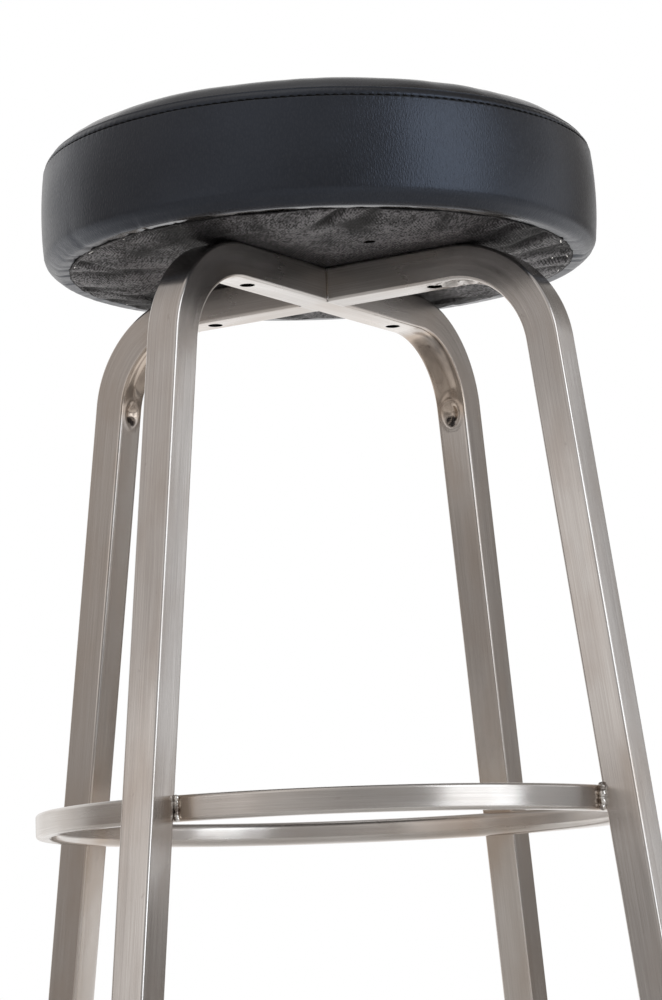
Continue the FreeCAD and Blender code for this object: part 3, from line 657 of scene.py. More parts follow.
def add_tube(name, legs):
    """A leg tube from one or two legs; two run through the crossing without a break."""
    walls = []
    for leg in legs:
        distances = stations(0.0 if len(legs) == 2 else TUBE / 2, leg_length(SOLE))
        rows = [leg_rows(distances, wall, leg) for wall in (OUTER_WALL, INNER_WALL)]
        walls.append((distances, *rows, tint_and_painted_shade_along(distances, leg)))
    distances, outer, inner, tint_and_painted_light = walls[0]
    if len(legs) == 2:
        shape = square(*OUTER_WALL)[0]
        mirrored = [int(np.argmin(np.abs(shape[:, 0] - n) + np.abs(shape[:, 1] + b))) for n, b in shape]
        distances = np.concatenate([-walls[1][0][::-1], distances[1:]])
        outer, inner, tint_and_painted_light = (
            np.concatenate([far[::-1][:, mirrored], near[1:]])
            for far, near in zip(walls[1][1:], walls[0][1:])
        )
    shell = Shell(name)
    outer_ends = shell.grid(outer, distances, square(*OUTER_WALL)[1], flip=True, tint_and_painted_light=tint_and_painted_light)
    inner_ends = shell.grid(inner, distances, square(*INNER_WALL)[1])
    shell.strip(outer_ends[0], inner_ends[0])
    shell.strip(inner_ends[1], outer_ends[1])
    item = shell.added()
    low, middle, high = ARM_TOP - TUBE - CUT_SPARE, ARM_TOP - TUBE / 2, ARM_TOP + CUT_SPARE
    for leg in legs:
        x, y, _ = polar(HOLE_CIRCLE, radians(LEGS[leg]), 0)
        access = cylinder("Access", ACCESS_HOLE / 2, low, middle, x, y)
        screw = cylinder("Screw", SCREW_HOLE / 2, middle, high, x, y, 32)
        drilled(item, [access, screw])
    return weighted(item)


tubes = {
    "long_leg_tube": (["front_left", "rear_right"], "leg_tube_front_left_to_rear_right"),
    "front_right_leg_tube": (["front_right"], "leg_tube_front_right"),
    "rear_left_leg_tube": (["rear_left"], "leg_tube_rear_left"),
}
for name, (legs, node) in tubes.items():
    finished(add_tube(name, legs), STEEL, "brushed_tube", node)


# Welds
def bead(shell, place, direction, low, high, radius, rough, pitch, seed, waist=1, dark=0.10):
    """An upright weld bead of overlapping ripples with round ends."""
    rows, columns = 40, 18
    heights = np.linspace(low, high, rows)
    height, angle = np.meshgrid(heights, circle(columns), indexing="ij")
    end = np.minimum(height - low, high - height)
    cap = np.sqrt(np.clip(1 - (1 - np.clip(end / radius, 0, 1)) ** 2, 0, 1))
    ripple = np.abs(np.sin(pi * (height - low) / pitch + 0.5 * np.cos(angle)))
    spots = polar(radius, angle, height)
    lump = noise_at(spots, 330, seed) * rough + noise_at(spots, 900, seed + 5) * rough * 0.4
    size = radius * cap * (0.86 + 0.14 * ripple + lump) * (waist + (1 - waist) * hump(end, 0.0028))
    hollow = (smooth(0.6, 0.1, ripple) * 0.3 + dark) * smooth(0.06, 0.20, end / (high - low))
    points = polar(size, angle + direction, height) + (place[0], place[1], 0)
    across = np.linspace(0, radius * tau, columns + 1)
    shell.closed(points, heights, across, flip=True, tint_and_painted_light=np.clip(hollow, 0, 1))


for number, (leg, angle) in enumerate(LEGS.items()):
    shell = Shell(f"ring_weld_beads_{leg}")
    low = RING_TOP - RING_HEIGHT + (0.0014 if leg.startswith("rear") else -0.0004)
    for side in (-1, 1):
        spot = turn(np.array((RING_OUTER + RING_WELD_OUT, side * RING_WELD_SIDE, 0.0)), angle)
        lumpy = leg == "front_right" and side == -1
        high, form = RING_TOP + (0.0018 if lumpy else 0.0002), LUMPY_BEAD if lumpy else PLAIN_BEAD
        bead(shell, spot, radians(angle), low, high, seed=10 * number + side, **form)
    finished(shell.added(180), WELD, "weld", f"ring_weld_{leg}")

shell = Shell("cross_weld_beads")
for number in range(4):
    angle = radians(90 * number)
    spot = polar(TUBE / 2 * sqrt(2), angle, 0)
    low, high = ARM_TOP - TUBE + 0.0006, ARM_TOP - 0.0004
    bead(shell, spot, angle, low, high, 0.0012, rough=0.01, pitch=0.4, seed=60 + number, dark=0.70)
for side in (-1, 1):
    rounding = np.linspace(0, pi / 2, 8)
    across = TUBE / 2 - CORNER + CORNER * np.sin(rounding)
    height = ARM_TOP - TUBE + CORNER - CORNER * np.cos(rounding)
    outline = [*zip(across, height), (TUBE / 2 + 0.0001, ARM_TOP - TUBE - 0.00005)]
    half = TUBE / 2 - CORNER * 0.6
    rows = np.array([[(x, side * a, h) for a, h in outline] for x in (-half, 0, half)])
    shell.grid(turn(rows, 45), (-half, 0, half), np.linspace(0, 0.008, len(outline) + 1), flip=side < 0)
finished(shell.added(60), STEEL, "weld", "cross_welds")


# Foot ring: flat outside, rounded inside
def ring_section():
    """Points of the ring's section as (radius, height)."""
    high, low = RING_TOP, RING_TOP - RING_HEIGHT
    inner, outer = RING_OUTER - RING_THICK, RING_OUTER
    points = []
    for x, z, radius, start in (
        (outer, high, RING_OUTER_CORNER, 0), (inner, high, RING_INNER_CORNER, 90),
        (inner, low, RING_INNER_CORNER, 180), (outer, low, RING_OUTER_CORNER, 270),
    ):
        a = np.radians(start + np.linspace(0, 90, 8))
        centre = (x - radius if x == outer else x + radius, z - radius if z == high else z + radius)
        points.append(np.column_stack([np.cos(a), np.sin(a)]) * radius + centre)
    return np.concatenate(points)


section = ring_section()
turns = circle(RING_COLUMNS)
rows = polar(section[:, 0], turns[:, None], section[:, 1])
rows = rows + polar(1, turns, 0)[:, None, :] * noise_at(rows, 22, 3)[..., None] * 0.00018
from_leg = np.radians(off_legs(turns)) * RING_OUTER
rear = np.where((turns > 0.2) & (turns < 2.6), 1.0, 0.0)
# partly heat tint beside the welds, partly a painted darker reflection on the ring's outer face
weld_tint_and_painted_reflection = hump(from_leg - 0.018, 0.011 + 0.03 * rear)
soot = hump(from_leg - 0.0165, 0.008)
joint = hump(np.degrees(wrapped(turns + radians(RING_JOINT))), 0.35)
inner_side = smooth(RING_OUTER - 0.002, RING_OUTER - 0.009, section[:, 0])
tint_and_painted_light = np.outer(weld_tint_and_painted_reflection, 0.22 + 0.12 * inner_side) + np.outer(soot, 0.55 - 0.40 * inner_side)
tint_and_painted_light = np.clip(tint_and_painted_light + 0.3 * joint[:, None], 0, 1)
shell = Shell("foot_ring_tube")
along = np.linspace(0, tau * RING_OUTER, RING_COLUMNS + 1)
rows, tint_and_painted_light = np.concatenate([rows, rows[:1]]), np.concatenate([tint_and_painted_light, tint_and_painted_light[:1]])
shell.grid(rows, along, round_lengths(section), flip=True, tint_and_painted_light=tint_and_painted_light)
ring = shell.added(60)
ring.modifiers.new("Join", "WELD").merge_threshold = 0.00001
finished(weighted(applied(ring)), RING_STEEL, "brushed_tube", "foot_ring")

# Glides: a bevelled sole and a plug up the bore, as heights and half widths
GLIDE_FORM = (
    (0.0, TUBE / 2 - 0.0012), (0.0003, TUBE / 2 - 0.0006), (0.0010, TUBE / 2), (0.0044, TUBE / 2),
    (0.0049, TUBE / 2 - 0.0005), (SOLE, PLUG_HALF), (PLUG_TOP - 0.002, PLUG_HALF),
    (PLUG_TOP, PLUG_HALF - 0.001),
)
for leg, angle in LEGS.items():
    shell = Shell(f"glide_cap_{leg}")
    rows = []
    for height, half in GLIDE_FORM:
        shape, round_it = square(half, 0.0020, 1)
        rows.append(leg_row(leg_length(height), shape[:, 0], shape[:, 1], height))
    shell.closed(turn(np.array(rows), angle), [height for height, _ in GLIDE_FORM], round_it)
    finished(shell.added(50), PLASTIC, "glide_plastic", f"glide_{leg}")


# Seat outline, as (radius, height over the arms), set in from the leather's outside
def arc(start, end, radius):
    """Points of a short arc between two points, with its centre on the left of the way there."""
    start, end = np.array(start), np.array(end)
    chord = end - start
    length = np.linalg.norm(chord)
    left = np.array((-chord[1], chord[0])) / length
    centre = (start + end) / 2 + left * sqrt(max(radius ** 2 - length ** 2 / 4, 0))
    first = atan2(*(start - centre)[::-1])
    angles = first + wrapped(atan2(*(end - centre)[::-1]) - first) * np.linspace(0, 1, 40)
    return centre + radius * np.column_stack([np.cos(angles), np.sin(angles)])


def seat_outline(inset):
    """Points from the flap under the board to the crown's middle, and their distance along."""
    flap = np.linspace(FLAP, EDGE_START, 20)
    under = COVER_RISE / (COVER_EDGE - COVER_FLAT) * (flap - COVER_FLAT) + COVER_THICK + inset

    def side(height, radius=BULGE - inset):
        return (WIDEST[0] - BULGE + sqrt(radius ** 2 - (height - WIDEST[1]) ** 2), height)

    def towards(angle):
        return np.array((sin(angle), cos(angle)))

    centre = np.array(side(STITCH_HEIGHT, BULGE)) - SHOULDER * towards(SHOULDER_START)
    blend_centre = centre - (BLEND - SHOULDER) * towards(SHOULDER_END)
    crown = blend_centre[0] / sin(CROWN_EDGE) + BLEND
    crown_z = blend_centre[1] - blend_centre[0] / tan(CROWN_EDGE)
    radius, blend_radius, crown = SHOULDER - inset, BLEND - inset, crown - inset
    top = [
        (centre[0] + sqrt(radius ** 2 - (STITCH_HEIGHT - centre[1]) ** 2), STITCH_HEIGHT),
        centre + radius * towards(SHOULDER_END), blend_centre + blend_radius * towards(CROWN_EDGE),
        (0.0, crown_z + crown),
    ]
    pieces = [
        arc((EDGE_START, under[-1]), side(EDGE_TOP), EDGE_RADIUS - inset),
        arc(side(EDGE_TOP), side(STITCH_HEIGHT), BULGE - inset),
        arc(top[0], top[1], radius), arc(top[1], top[2], blend_radius), arc(top[2], top[3], crown),
    ]
    points = np.concatenate([np.column_stack([flap, under])] + [piece[1:] for piece in pieces])
    steps = np.linalg.norm(np.diff(points, axis=0), axis=1)
    return points, np.concatenate([[0], np.cumsum(steps)])


OUTLINE, OUTLINE_AT = seat_outline(0)
EDGE_AT = float(np.interp(COVER_EDGE, OUTLINE[:20, 0], OUTLINE_AT[:20]))
STITCH_AT = float(OUTLINE_AT[int(np.argmin(np.abs(OUTLINE[:, 1] - STITCH_HEIGHT) + (OUTLINE_AT < 0.05)))])
SEAM_AT = STITCH_AT + SEAM_STEP
CROWN_AT = float(OUTLINE_AT[-1])
CROWN_TOP = float(ARM_TOP + OUTLINE[-1, 1])


def outline_place(at):
    """Radius, height, and the outward direction of the outline at a distance along it."""
    step = 0.0006
    (r, z), (r0, z0), (r1, z1) = (
        [np.interp(place, OUTLINE_AT, OUTLINE[:, axis]) for axis in (0, 1)]
        for place in (at, at - step, at + step)
    )
    dr, dz = r1 - r0, z1 - z0
    length = np.sqrt(dr ** 2 + dz ** 2)
    return r, z, dz / length, -dr / length


def revolved(at, angles, offset, sagging=False):
    """Points of the seat's skin; offset is how far each stands outside the outline."""
    r, z, nr, nz = outline_place(at)
    radius = r[:, None] + nr[:, None] * offset
    height = ARM_TOP + z[:, None] + nz[:, None] * offset
    if sagging:
        roll = smooth(COVER_EDGE - 0.0008, COVER_EDGE + 0.0002, r) * (1 - smooth(*SAG_RISE, z))
        roll *= 1 - 0.65 * smooth(*SAG_FADE, r)
        flat = RING_FLAT * np.clip(r - COVER_EDGE, 0, RING_FLAT_WIDE) * (1 - smooth(0.188, 0.195, r))
        height = height - np.outer(roll, sag_at(angles)) - (0.0003 * roll + flat)[:, None]
    return polar(radius, angles, height)


# Padding: blown up as cloth round its board, so that the skin is as uneven as on real foam
def swollen_pad():
    """How unevenly the padding stands out, blown up against its seam and its board."""
    shape = (PAD_ROWS, PAD_COLUMNS)
    angles = circle(PAD_COLUMNS)
    at = np.linspace(EDGE_AT + 0.006, CROWN_AT - 0.002, PAD_ROWS)
    still = revolved(at, angles, np.full(shape, -PAD_INSET))
    still = revolved(at, angles, noise_at(still, 26, 8) * 0.0016 - PAD_INSET)
    shell = Shell("pad")
    centres = (0, 0, still[0, 0, 2]), (0, 0, still[-1, :, 2].mean())
    shell.closed(still, at, np.zeros(PAD_COLUMNS + 1), centres, flip=True)
    pad = shell.added()
    remesh = pad.modifiers.new("Remesh", "REMESH")
    remesh.mode, remesh.voxel_size = "VOXEL", PAD_VOXEL
    applied(pad)
    start = np.array([v.co for v in pad.data.vertices])
    held = pad.vertex_groups.new(name="held")
    seam_height = ARM_TOP + float(outline_place(np.array([STITCH_AT]))[1][0])
    for index, (x, y, z) in enumerate(start):
        if z < ARM_TOP + PAD_HELD_BELOW or abs(z - seam_height) < 0.003 and hypot(x, y) > 0.185:
            held.add([index], 1.0, "REPLACE")
    cloth = pad.modifiers.new("Cloth", "CLOTH")
    settings = cloth.settings
    settings.use_pressure, settings.uniform_pressure_force = True, PAD_PRESSURE
    settings.vertex_group_mass, settings.quality = "held", 5
    settings.effector_weights.gravity = 0
    cloth.point_cache.frame_start, cloth.point_cache.frame_end = 1, PAD_FRAMES
    for number in range(1, PAD_FRAMES + 1):
        bpy.context.scene.frame_set(number)
    applied(pad)
    bpy.context.scene.frame_set(1)
    move = np.array([v.co for v in pad.data.vertices]) - start
    far = np.linalg.norm(move, axis=1, keepdims=True)
    end = start + move * np.minimum(1, PAD_CAP / np.maximum(far, 1e-9))
    tree = BVHTree.FromPolygons(end.tolist(), [tuple(p.vertices) for p in pad.data.polygons])
    inside = revolved(at, angles, np.full(shape, -PAD_DEPTH))
    outside = revolved(at, angles, np.zeros(shape))
    reach = np.zeros(shape)
    for i, j in np.ndindex(shape):
        ray = Vector(outside[i, j] - inside[i, j]).normalized()
        hit = tree.ray_cast(Vector(inside[i, j]), ray, 0.05)
        reach[i, j] = hit[3] if hit[0] else PAD_DEPTH - PAD_INSET
    bpy.data.objects.remove(pad)
    uneven = reach - reach.mean(1, keepdims=True)
    return at, PAD_SHARE * np.clip(uneven, -PAD_LIMIT, PAD_LIMIT)


PAD_AT, PAD_REACH = swollen_pad()


def uneven_skin(at, angles):
    """The padding's unevenness at places of the skin."""
    column = (angles % tau) / tau * PAD_COLUMNS
    j = np.floor(column).astype(int)
    part = column - j
    rows = np.interp(at, PAD_AT, np.arange(PAD_ROWS))
    i = np.minimum(np.floor(rows).astype(int), PAD_ROWS - 2)
    down = (rows - i)[:, None]
    j, k = j % PAD_COLUMNS, (j + 1) % PAD_COLUMNS

    def row(number):
        return PAD_REACH[number][:, j] * (1 - part) + PAD_REACH[number][:, k] * part

    return (row(i) * (1 - down) + row(i + 1) * down) * smooth(EDGE_AT, EDGE_AT + 0.03, at)[:, None]


def puckers(at, angles, seed, count):
    """Pleats of the pulled leather: narrow hollows that run out from the cover's edge."""
    rng = random.Random(seed)
    depth = np.zeros((len(at), len(angles)))
    out = at - EDGE_AT
    for number in range(count):
        place = (number + rng.uniform(-0.6, 0.6)) / count * tau
        taut = 0.2 + 0.8 * abs(cos(place - PULL_SIDE)) ** 3
        width = radians(rng.uniform(0.5, 1.4))
        reach = rng.uniform(0.004, 0.014) * (1.6 if rng.random() < 0.2 else 1)
        deep = taut * rng.uniform(0.2, 1.0) ** 3 * 0.0011
        lean = rng.uniform(-0.25, 0.25)
        shift = wrapped(angles[None, :] - place - lean * out[:, None])
        fade = (hump(np.clip(out, 0, 1), reach) * smooth(-0.006, 0.0, out))[:, None]
        side = shift - width * 1.7 * rng.choice((-1, 1))
        depth += deep * fade * (0.45 * hump(side, width * 1.2) - hump(shift, width))
    return depth


def add_skin(name, at, angles, offset, coarse, tint_and_painted_light, sagging=False):
    """A leather panel: full outside and simpler inside. One that doesn't sag is closed on top."""
    shell = Shell(name)
    across = np.append(angles, tau) * WIDEST[0]
    outer = shell.grid(revolved(at, angles, offset, sagging), at, across, flip=True, tint_and_painted_light=tint_and_painted_light)
    inner = shell.grid(revolved(at[coarse], angles, offset[coarse] - LEATHER, sagging), at[coarse], across)
    shell.strip(outer[0], inner[0])
    if sagging:
        shell.strip(inner[1], outer[1])
    else:
        shell.fan(outer[1], (0, 0, CROWN_TOP))
        shell.fan(inner[1], (0, 0, CROWN_TOP - LEATHER), flip=True)
    return shell.added(180, swapped=True)


# Leather side band, with the groove of its stitches and its rolled edge at the seam
skin_angles = circle(SKIN_COLUMNS)
band_at = runs(
    (0.012, EDGE_AT - 0.002, 6), (EDGE_AT - 0.0011, EDGE_AT + 0.0005, 5),
    (EDGE_AT + 0.0014, EDGE_AT + 0.022, 24), (EDGE_AT + 0.024, STITCH_AT - 0.004, 26),
    (STITCH_AT - 0.003, STITCH_AT + 0.003, 21), (STITCH_AT + 0.0034, SEAM_AT, 12),
)
from_stitch = band_at - STITCH_AT
groove = -0.0016 * hump(from_stitch, 0.0008) + 0.0004 * smooth(0.0008, 0.003, from_stitch)
groove += SEAM_ROLL * hump(band_at - SEAM_AT, SEAM_ROLL_WIDTH)
groove -= 0.0001 * smooth(SEAM_AT - 0.0003, SEAM_AT, band_at) ** 2
band_offset = uneven_skin(band_at, skin_angles) + puckers(band_at, skin_angles, 5, 90) + groove[:, None]
band_offset += 0.00012 * np.outer(hump(from_stitch, 0.004), np.cos(skin_angles * STITCHES))
# taut: the flat lip, smoother and painted lighter there, a painted highlight
taut = plateau(EDGE_AT - 0.001, EDGE_AT, EDGE_AT + 0.007, EDGE_AT + 0.012, band_at)
taut = np.outer(taut, smooth(0.35, 0.85, 1 - np.abs(np.cos(skin_angles - PULL_SIDE)) ** 3))
coarse = np.unique(np.concatenate([np.arange(14), np.linspace(14, len(band_at) - 1, 14).astype(int)]))
band = add_skin("leather_side_band", band_at, skin_angles, band_offset, coarse, taut, sagging=True)
finished(band, LEATHER_SKIN, "leather", "seat_side_band")

# Leather top panel, tucked in at the seam with a rolled edge
top_at = runs(
    (SEAM_AT, SEAM_AT + 0.0024, 11), (SEAM_AT + 0.003, SEAM_AT + 0.05, 22),
    (SEAM_AT + 0.056, CROWN_AT - 0.004, 24),
)
top_angles = skin_angles[::2]
top_offset = uneven_skin(top_at, top_angles) * (1 - 0.6 * smooth(SEAM_AT, SEAM_AT + 0.03, top_at))[:, None]
rolled = SEAM_ROLL * hump(top_at - SEAM_AT, SEAM_ROLL_WIDTH)
rolled -= 0.0001 * (1 - smooth(SEAM_AT, SEAM_AT + 0.0003, top_at)) ** 2
top_offset += rolled[:, None]
soft = noise_at(revolved(top_at, top_angles, top_offset), 11, 2) * 0.0005
top_offset += soft * smooth(SEAM_AT + 0.01, SEAM_AT + 0.06, top_at)[:, None]
# near the seam the top panel is smoother and painted lighter, a painted highlight
taut = np.outer(0.6 * (1 - smooth(SEAM_AT + 0.02, SEAM_AT + 0.06, top_at)), np.ones(len(top_angles)))
coarse = np.array([0, 8, 16, 26, 36, 46, 56])
top = add_skin("leather_top_panel", top_at, top_angles, top_offset, coarse, taut)
finished(top, LEATHER_SKIN, "leather", "seat_top_panel")

# Foam pad, just inside the leather and on the board
pad_at = np.linspace(EDGE_AT + 0.012, CROWN_AT - 0.003, 44)
pad_angles = skin_angles[::7]
pad_outside = revolved(pad_at, pad_angles, uneven_skin(pad_at, pad_angles) - LEATHER - FOAM_GAP)
board_top, board_side = ARM_TOP + BOARD[1] + 0.0002, BOARD[0] + 0.0003
below = ((0.09, board_top), (board_side, board_top), (board_side, pad_outside[0, 0, 2]))
pad_rows = np.concatenate([np.stack([polar(r, pad_angles, z) for r, z in below]), pad_outside])
pad_lengths = np.concatenate([(0.0, 0.1, 0.11), 0.12 + pad_at])
shell = Shell("seat_foam_pad")
centres = (0, 0, board_top), (0, 0, CROWN_TOP - LEATHER - FOAM_GAP)
shell.closed(pad_rows, pad_lengths, np.append(pad_angles, tau) * WIDEST[0], centres, flip=True)
foam = shell.added(50)
finished(foam, FOAM, "foam", "seat_foam")

# Stitches: slanted thread ends in the groove below the seam
shell = Shell("seam_stitches")
rng = random.Random(11)
spot_r, spot_z, spot_nr, spot_nz = (float(v[0]) for v in outline_place(np.array([STITCH_AT])))
thread = circle(6)
for number in range(STITCHES):
    angle = (number + rng.uniform(-0.05, 0.05)) / STITCHES * tau
    slant = radians(STITCH_SLANT + rng.uniform(-5, 5))
    length = STITCH_LENGTH + rng.uniform(-0.0003, 0.0003)
    outward = polar(spot_nr, angle, spot_nz)
    sideways = np.array((-sin(angle), cos(angle), 0.0))
    upward = np.cross(outward, sideways)
    upward *= copysign(1, upward[2])
    centre = polar(spot_r, angle, ARM_TOP + spot_z) - outward * 0.0010 + upward * rng.uniform(-0.0001, 0.0001)
    run = sideways * cos(slant) - upward * sin(slant)
    circling = np.outer(np.cos(thread), outward) + np.outer(np.sin(thread), np.cross(outward, run))
    rows = []
    for t in np.linspace(-1, 1, 7):
        middle = centre + run * length / 2 * t + outward * 0.00035 * (1 - t * t)
        rows.append(middle + STITCH_RADIUS * sqrt(max(1 - t ** 4, 0.02)) * circling)
    shell.closed(np.array(rows), np.zeros(7), np.zeros(7))
finished(shell.added(180), THREAD, "leather")


# Dust cover: stretched woven cloth, stapled round its folded edge
def cover_drop(radii, angles):
    """How far the cloth hangs below its flat place."""
    r, a = np.meshgrid(radii, angles, indexing="ij")
    points = polar(r, a, 0)
    off_arm = r * np.sin(np.radians(off_legs(a)))
    free = smooth(0.016, 0.05, np.where(r > BEND_START + 0.03, 0.05, off_arm))
    hang = 0.0016 * free * plateau(0.03, 0.09, 0.150, 0.172, r)
    hang += free * 0.0012 * noise_at(points, 22, 6) + free * 0.0005 * noise_at(points, 60, 9)
    swirl = noise_at(points, 14, 40) * 0.05
    inwards = np.clip(STAPLE_CIRCLE - r, 0, 1)
    rng = random.Random(21)
    for number in range(STAPLES * 3 // 2):
        place = (number / 1.5 + rng.uniform(-0.3, 0.3)) / STAPLES * tau
        wide = rng.uniform(0.0040, 0.0085) + inwards * 0.05
        reach = rng.uniform(0.018, 0.055)
        deep = rng.uniform(0.0010, 0.0026)
        shift = wrapped(a - place + swirl) * r - rng.uniform(-0.5, 0.5) * inwards
        fade = hump(inwards, reach) * (1 - smooth(0.176, 0.180, r)) * (0.3 + 0.7 * free)
        hang += deep * fade * (0.35 * hump(shift - 2.2 * wide, 1.5 * wide) - hump(shift, wide))
    hang += smooth(0.1705, 0.1720, r) * (0.0002 + 0.0003 * noise_at(points, 90, 12))
    hang += sag_at(a) * smooth(0.150, 0.177, r)
    for place in circle(STAPLES):
        hang -= 0.0009 * hump(np.hypot(wrapped(a - place) * r, r - STAPLE_CIRCLE), 0.0050)
    return np.maximum(hang, np.where(free < 0.02, 0, -0.0006))


def cover_painted_light_and_shade(points, radii, angles):
    """Painted light and shade for the cloth: painted light on its ridges, painted shade in its hollows, near
    the arms, in a band inside its rim and at the rim itself, and lighter and darker blotches at random.
    """
    height = points[..., 2]
    level = np.mean([np.roll(height, step, 1) for step in (-14, -9, -4, 0, 4, 9, 14)], 0)
    blotch = noise_at(points, 34, 51) + 0.6 * noise_at(points, 70, 52)
    # painted shadow: a darker band in places round the cloth, 152 mm from the middle
    blotch -= 1.1 * hump(radii - 0.152, 0.008)[:, None] * smooth(-0.5, 0.5, noise_at(points, 12, 53))
    light = np.clip(0.5 - 300 * (height - level) + 0.36 * blotch, 0, 1)
    # painted shade at the rim, under the leather's edge
    light *= (1 - 0.95 * smooth(0.1789, 0.1800, radii))[:, None]
    # painted shade near the arms
    off_arm = np.outer(radii, np.sin(np.radians(off_legs(angles))))
    return light * (0.20 + 0.80 * smooth(0.014, 0.050, off_arm))


cover_angles = circle(540)
cover_radii = runs((0.012, 0.09, 14), (0.093, 0.168, 32), (0.170, COVER_EDGE + 0.0005, 12))
rise = COVER_RISE * np.clip((cover_radii - COVER_FLAT) / (COVER_EDGE - COVER_FLAT), 0, None)
low_z = ARM_TOP + rise[:, None] - cover_drop(cover_radii, cover_angles)
fray = noise_at(polar(1, cover_angles, 0), 22, 31) * 0.0006
frayed = cover_radii[:, None] + np.outer(smooth(0.172, 0.180, cover_radii), fray)
cover_low = polar(frayed, cover_angles, low_z)
shell = Shell("woven_dust_cover")
across = np.append(cover_angles, tau) * 0.1
# painted light and shade, kept in the cloth's mesh for its material
light = cover_painted_light_and_shade(cover_low, cover_radii, cover_angles)
low_ends = shell.grid(cover_low, cover_radii, across, tint_and_painted_light=light)
high_ends = shell.grid(cover_low + (0, 0, COVER_THICK), cover_radii, across, flip=True)
middle_z = float(low_z[0].mean())
shell.fan(low_ends[0], (0, 0, middle_z))
shell.fan(high_ends[0], (0, 0, middle_z + COVER_THICK), flip=True)
shell.strip(low_ends[1], high_ends[1])
vent_x, vent_y, _ = polar(VENT_OUT, VENT_SIDE, 0)
vent = cylinder("Vent", VENT_RADIUS, ARM_TOP - 0.006, ARM_TOP + 0.006, vent_x, vent_y, 40)
cover = drilled(shell.added(60), [vent])
finished(cover, WOVEN, "woven_cover", "dust_cover")

# Staples: a flat crown on the cloth and two legs through it, as places across and down
STAPLE_FORM = (
    (-STAPLE_HALF, -STAPLE_LEG), (-STAPLE_HALF, -0.0012), (-0.0044, -0.0002), (-0.0038, 0.0),
    (0.0038, 0.0), (0.0044, -0.0002), (STAPLE_HALF, -0.0012), (STAPLE_HALF, -STAPLE_LEG),
)
shell = Shell("cover_staples")
rng = random.Random(3)
flattened = [[copysign(abs(v) ** 0.5, v) for v in (cos(a), sin(a))] for a in circle(12)]
down = np.array((0, 0, -1.0))
for angle in circle(STAPLES):
    twist = angle + radians(rng.uniform(-STAPLE_TWIST, STAPLE_TWIST))
    radius = STAPLE_CIRCLE + rng.uniform(-0.0008, 0.0006)
    height = ARM_TOP + COVER_RISE * (radius - COVER_FLAT) / (COVER_EDGE - COVER_FLAT) - sag_at(angle)
    height += 0.0028 - 0.0018 * cos(angle) ** 2 + rng.uniform(-0.0002, 0.0002)
    centre = polar(radius, angle, height)
    tip = rng.choice((-STAPLE_TIP, STAPLE_TIP))
    side, front = polar(1, twist + pi / 2, 0), polar(1, twist, 0)
    rows = []
    for number, (x, z) in enumerate(STAPLE_FORM):
        before, after = STAPLE_FORM[max(number - 1, 0)], STAPLE_FORM[min(number + 1, len(STAPLE_FORM) - 1)]
        run = np.subtract(after, before)
        run = run / np.linalg.norm(run)
        normal = side * -run[1] + down * run[0]
        middle = centre + side * x + down * (z + 0.0004 + tip * x)
        rows.append([middle + normal * STAPLE_THICKNESS * s + front * STAPLE_WIDTH * c for c, s in flattened])
    shell.closed(np.array(rows), np.zeros(len(rows)), np.zeros(13))
finished(shell.added(40), STAPLE_WIRE, "zinc_steel", "dust_cover_staples")

# Solids that stay as they are
for node, material in (
    ("seat_board", PLYWOOD), ("seat_t_nuts", ZINC), ("seat_screws", ZINC),
    ("upholstery_staples", STAPLE_WIRE),
):
    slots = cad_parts[node].data.materials
    if slots:
        for index in range(len(slots)):
            slots[index] = material
    else:
        slots.append(material)

# Camera
camera_data = bpy.data.cameras.new("Camera")
camera_data.sensor_width = SENSOR
camera_data.lens = FOCAL_PIXELS * SENSOR / IMAGE_HEIGHT
camera = add_object("Camera", camera_data)
camera.matrix_world = (
    Matrix.Translation(CAMERA_PLACE)
    @ Matrix.Rotation(radians(-CAMERA_HEADING), 4, "Z")
    @ Matrix.Rotation(radians(90 + CAMERA_PITCH), 4, "X")
    @ Matrix.Rotation(radians(CAMERA_ROLL), 4, "Z")
)
scene = bpy.context.scene
scene.camera = camera
scene.view_settings.view_transform = "Standard"

# Floor, fading to the white round it
FLOOR_RADII = (0.3, 1.0, 1.7, 2.4)
floor_angles = circle(96)
shell = Shell("floor")
floor_rows = np.stack([polar(r, floor_angles, 0) for r in FLOOR_RADII])
floor_ends = shell.grid(floor_rows, FLOOR_RADII, np.append(floor_angles, tau), flip=True)
shell.fan(floor_ends[0], (0, 0, 0))
floor = shell.added()
look = Look("Pale_floor", Roughness=0.7)
floor.data.materials.append(look.done(
    look.blend(look.spots(3, 3), (0.82, 0.81, 0.80), (0.86, 0.855, 0.85))
))
far = look.add("VectorMath", {0: look.in_space()}, operation="LENGTH").outputs["Value"]
rays = look.add("LightPath").outputs
mirrored = look.calc("MAXIMUM", rays["Is Glossy Ray"], rays["Is Transmission Ray"])
away = look.part(look.in_space(turned=11.9), 1)
mirrored = look.times(mirrored, look.span(away, 0.1, 0.6, 0, 0.85))
shown = look.times(rays["Is Camera Ray"], look.span(far, 0.5, FLOOR_RADII[-1], 0.5, 1))
strength = look.calc("MULTIPLY_ADD", mirrored, 0.2, 1)
glow = look.add("Emission", {"Color": (1, 0.985, 0.97), "Strength": strength})
mixed = look.either(look.calc("MAXIMUM", shown, mirrored), look.shader.outputs[0], glow.outputs[0])
look.plug(look.output.inputs["Surface"], mixed)


# Lights
def area_light(name, place, aim, width, height, power, colour=(0.96, 0.98, 1.0)):
    data = bpy.data.lights.new(name, "AREA")
    data.shape, data.size, data.size_y = "RECTANGLE", width, height
    data.energy, data.color = power, colour
    lamp = add_object(name, data)
    lamp.location = place
    lamp.rotation_euler = (Vector(aim) - Vector(place)).to_track_quat("-Z", "Y").to_euler()
    lamp.visible_camera = False


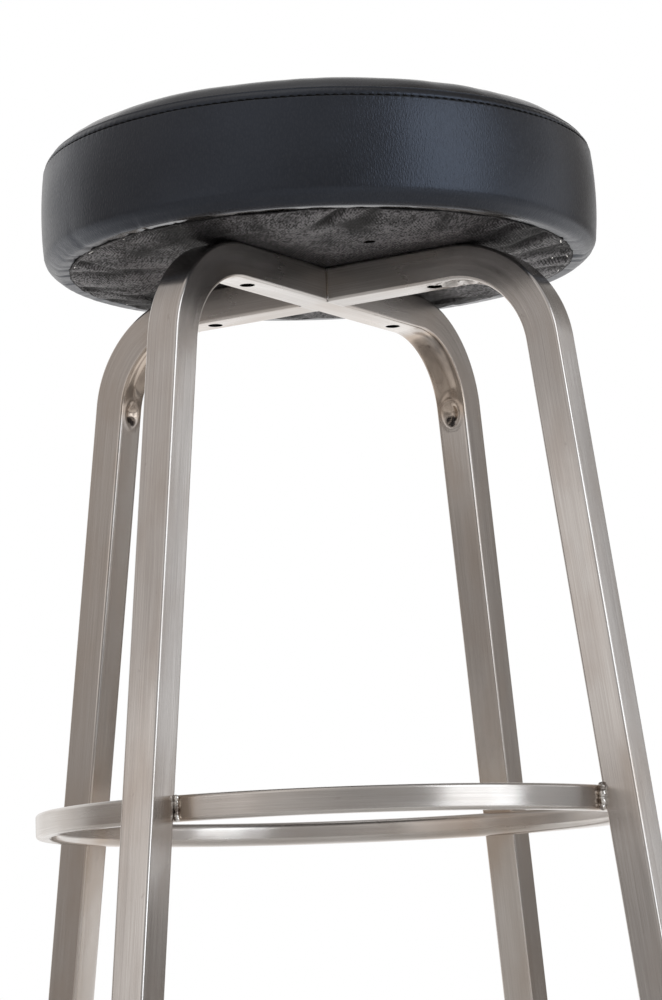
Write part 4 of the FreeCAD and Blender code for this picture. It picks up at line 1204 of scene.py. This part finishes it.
area_light("Window_right", (1.41, -1.76, 1.15), (0, 0, 0.6), 1.32, 1.9, 15.8, (0.91, 0.955, 1.0))
area_light("Card_right", (1.5, 0.08, 0.67), (0, 0.08, 0.67), 0.46, 0.74, 0.80)
area_light("Card_right_near", (1.5, -0.48, 0.76), (0, -0.48, 0.76), 0.66, 0.48, 0.66)
area_light("Card_right_high", (1.5, 0.22, 1.33), (0, 0.22, 1.33), 0.24, 0.66, 0.45)
area_light("Card_left", (-1.5, -0.95, 0.61), (0, -0.95, 0.61), 1.3, 0.42, 0.86, (1.0, 0.97, 0.94))

# World: white behind the stool, and for what the metal mirrors a grey room, as degrees and colours
ROOM = (
    (0, (1.0, 0.985, 0.97)), (50, (1.0, 0.98, 0.96)), (70, (0.62, 0.60, 0.58)), (78, (0.42, 0.385, 0.36)),
    (106, (0.58, 0.54, 0.51)), (122, (0.50, 0.467, 0.443)), (150, (0.80, 0.765, 0.735)),
    (182, (0.48, 0.46, 0.445)), (225, (0.45, 0.445, 0.44)), (262, (0.48, 0.475, 0.475)),
    (288, (0.27, 0.25, 0.235)), (326, (0.25, 0.235, 0.22)), (342, (1.0, 0.985, 0.97)),
)
scene.world = bpy.data.worlds.new("Studio")
room = Nodes(scene.world)
direction = room.add("TexCoord").outputs["Generated"]
turned = room.mapped(direction, (1, 1, 1), 101.9)
azimuth = room.add("TexGradient", {"Vector": turned}, gradient_type="RADIAL").outputs["Fac"]
ramp = room.add("ValToRGB", {"Fac": azimuth})
stops = ramp.color_ramp.elements
stops.remove(stops[-1])
stops[0].position, stops[0].color = 0, (*ROOM[0][1], 1)
for angle, colour in ROOM[1:]:
    stops.new(angle / 360).color = (*colour, 1)
height = room.part(direction, 2)
behind = room.span(room.part(turned, 0), -0.35, -0.1, 1, 0)
level = room.calc("MAXIMUM", behind, room.span(height, 0.0, 0.34, 0.65, 1.1))
high = room.times(behind, room.span(height, 0.45, 0.68, 0, 0.65))
low = room.times(behind, room.span(height, -0.22, -0.02, 0.36, 0))
level = room.times(level, room.calc("ADD", room.calc("SUBTRACT", 1, high), low))
mirrored = room.add("Background", {"Color": ramp.outputs["Color"], "Strength": level}).outputs[0]
ambient = room.add("Background", {"Color": (1.0, 0.965, 0.93), "Strength": 0.60}).outputs[0]
white = room.add("Background", {"Color": (1, 1, 1), "Strength": 1}).outputs[0]
rays = room.add("LightPath").outputs
shown = room.either(rays["Is Glossy Ray"], ambient, mirrored)
shown = room.either(rays["Is Transmission Ray"], shown, white)
shown = room.either(rays["Is Camera Ray"], shown, white)
room.add("OutputWorld", {"Surface": shown})
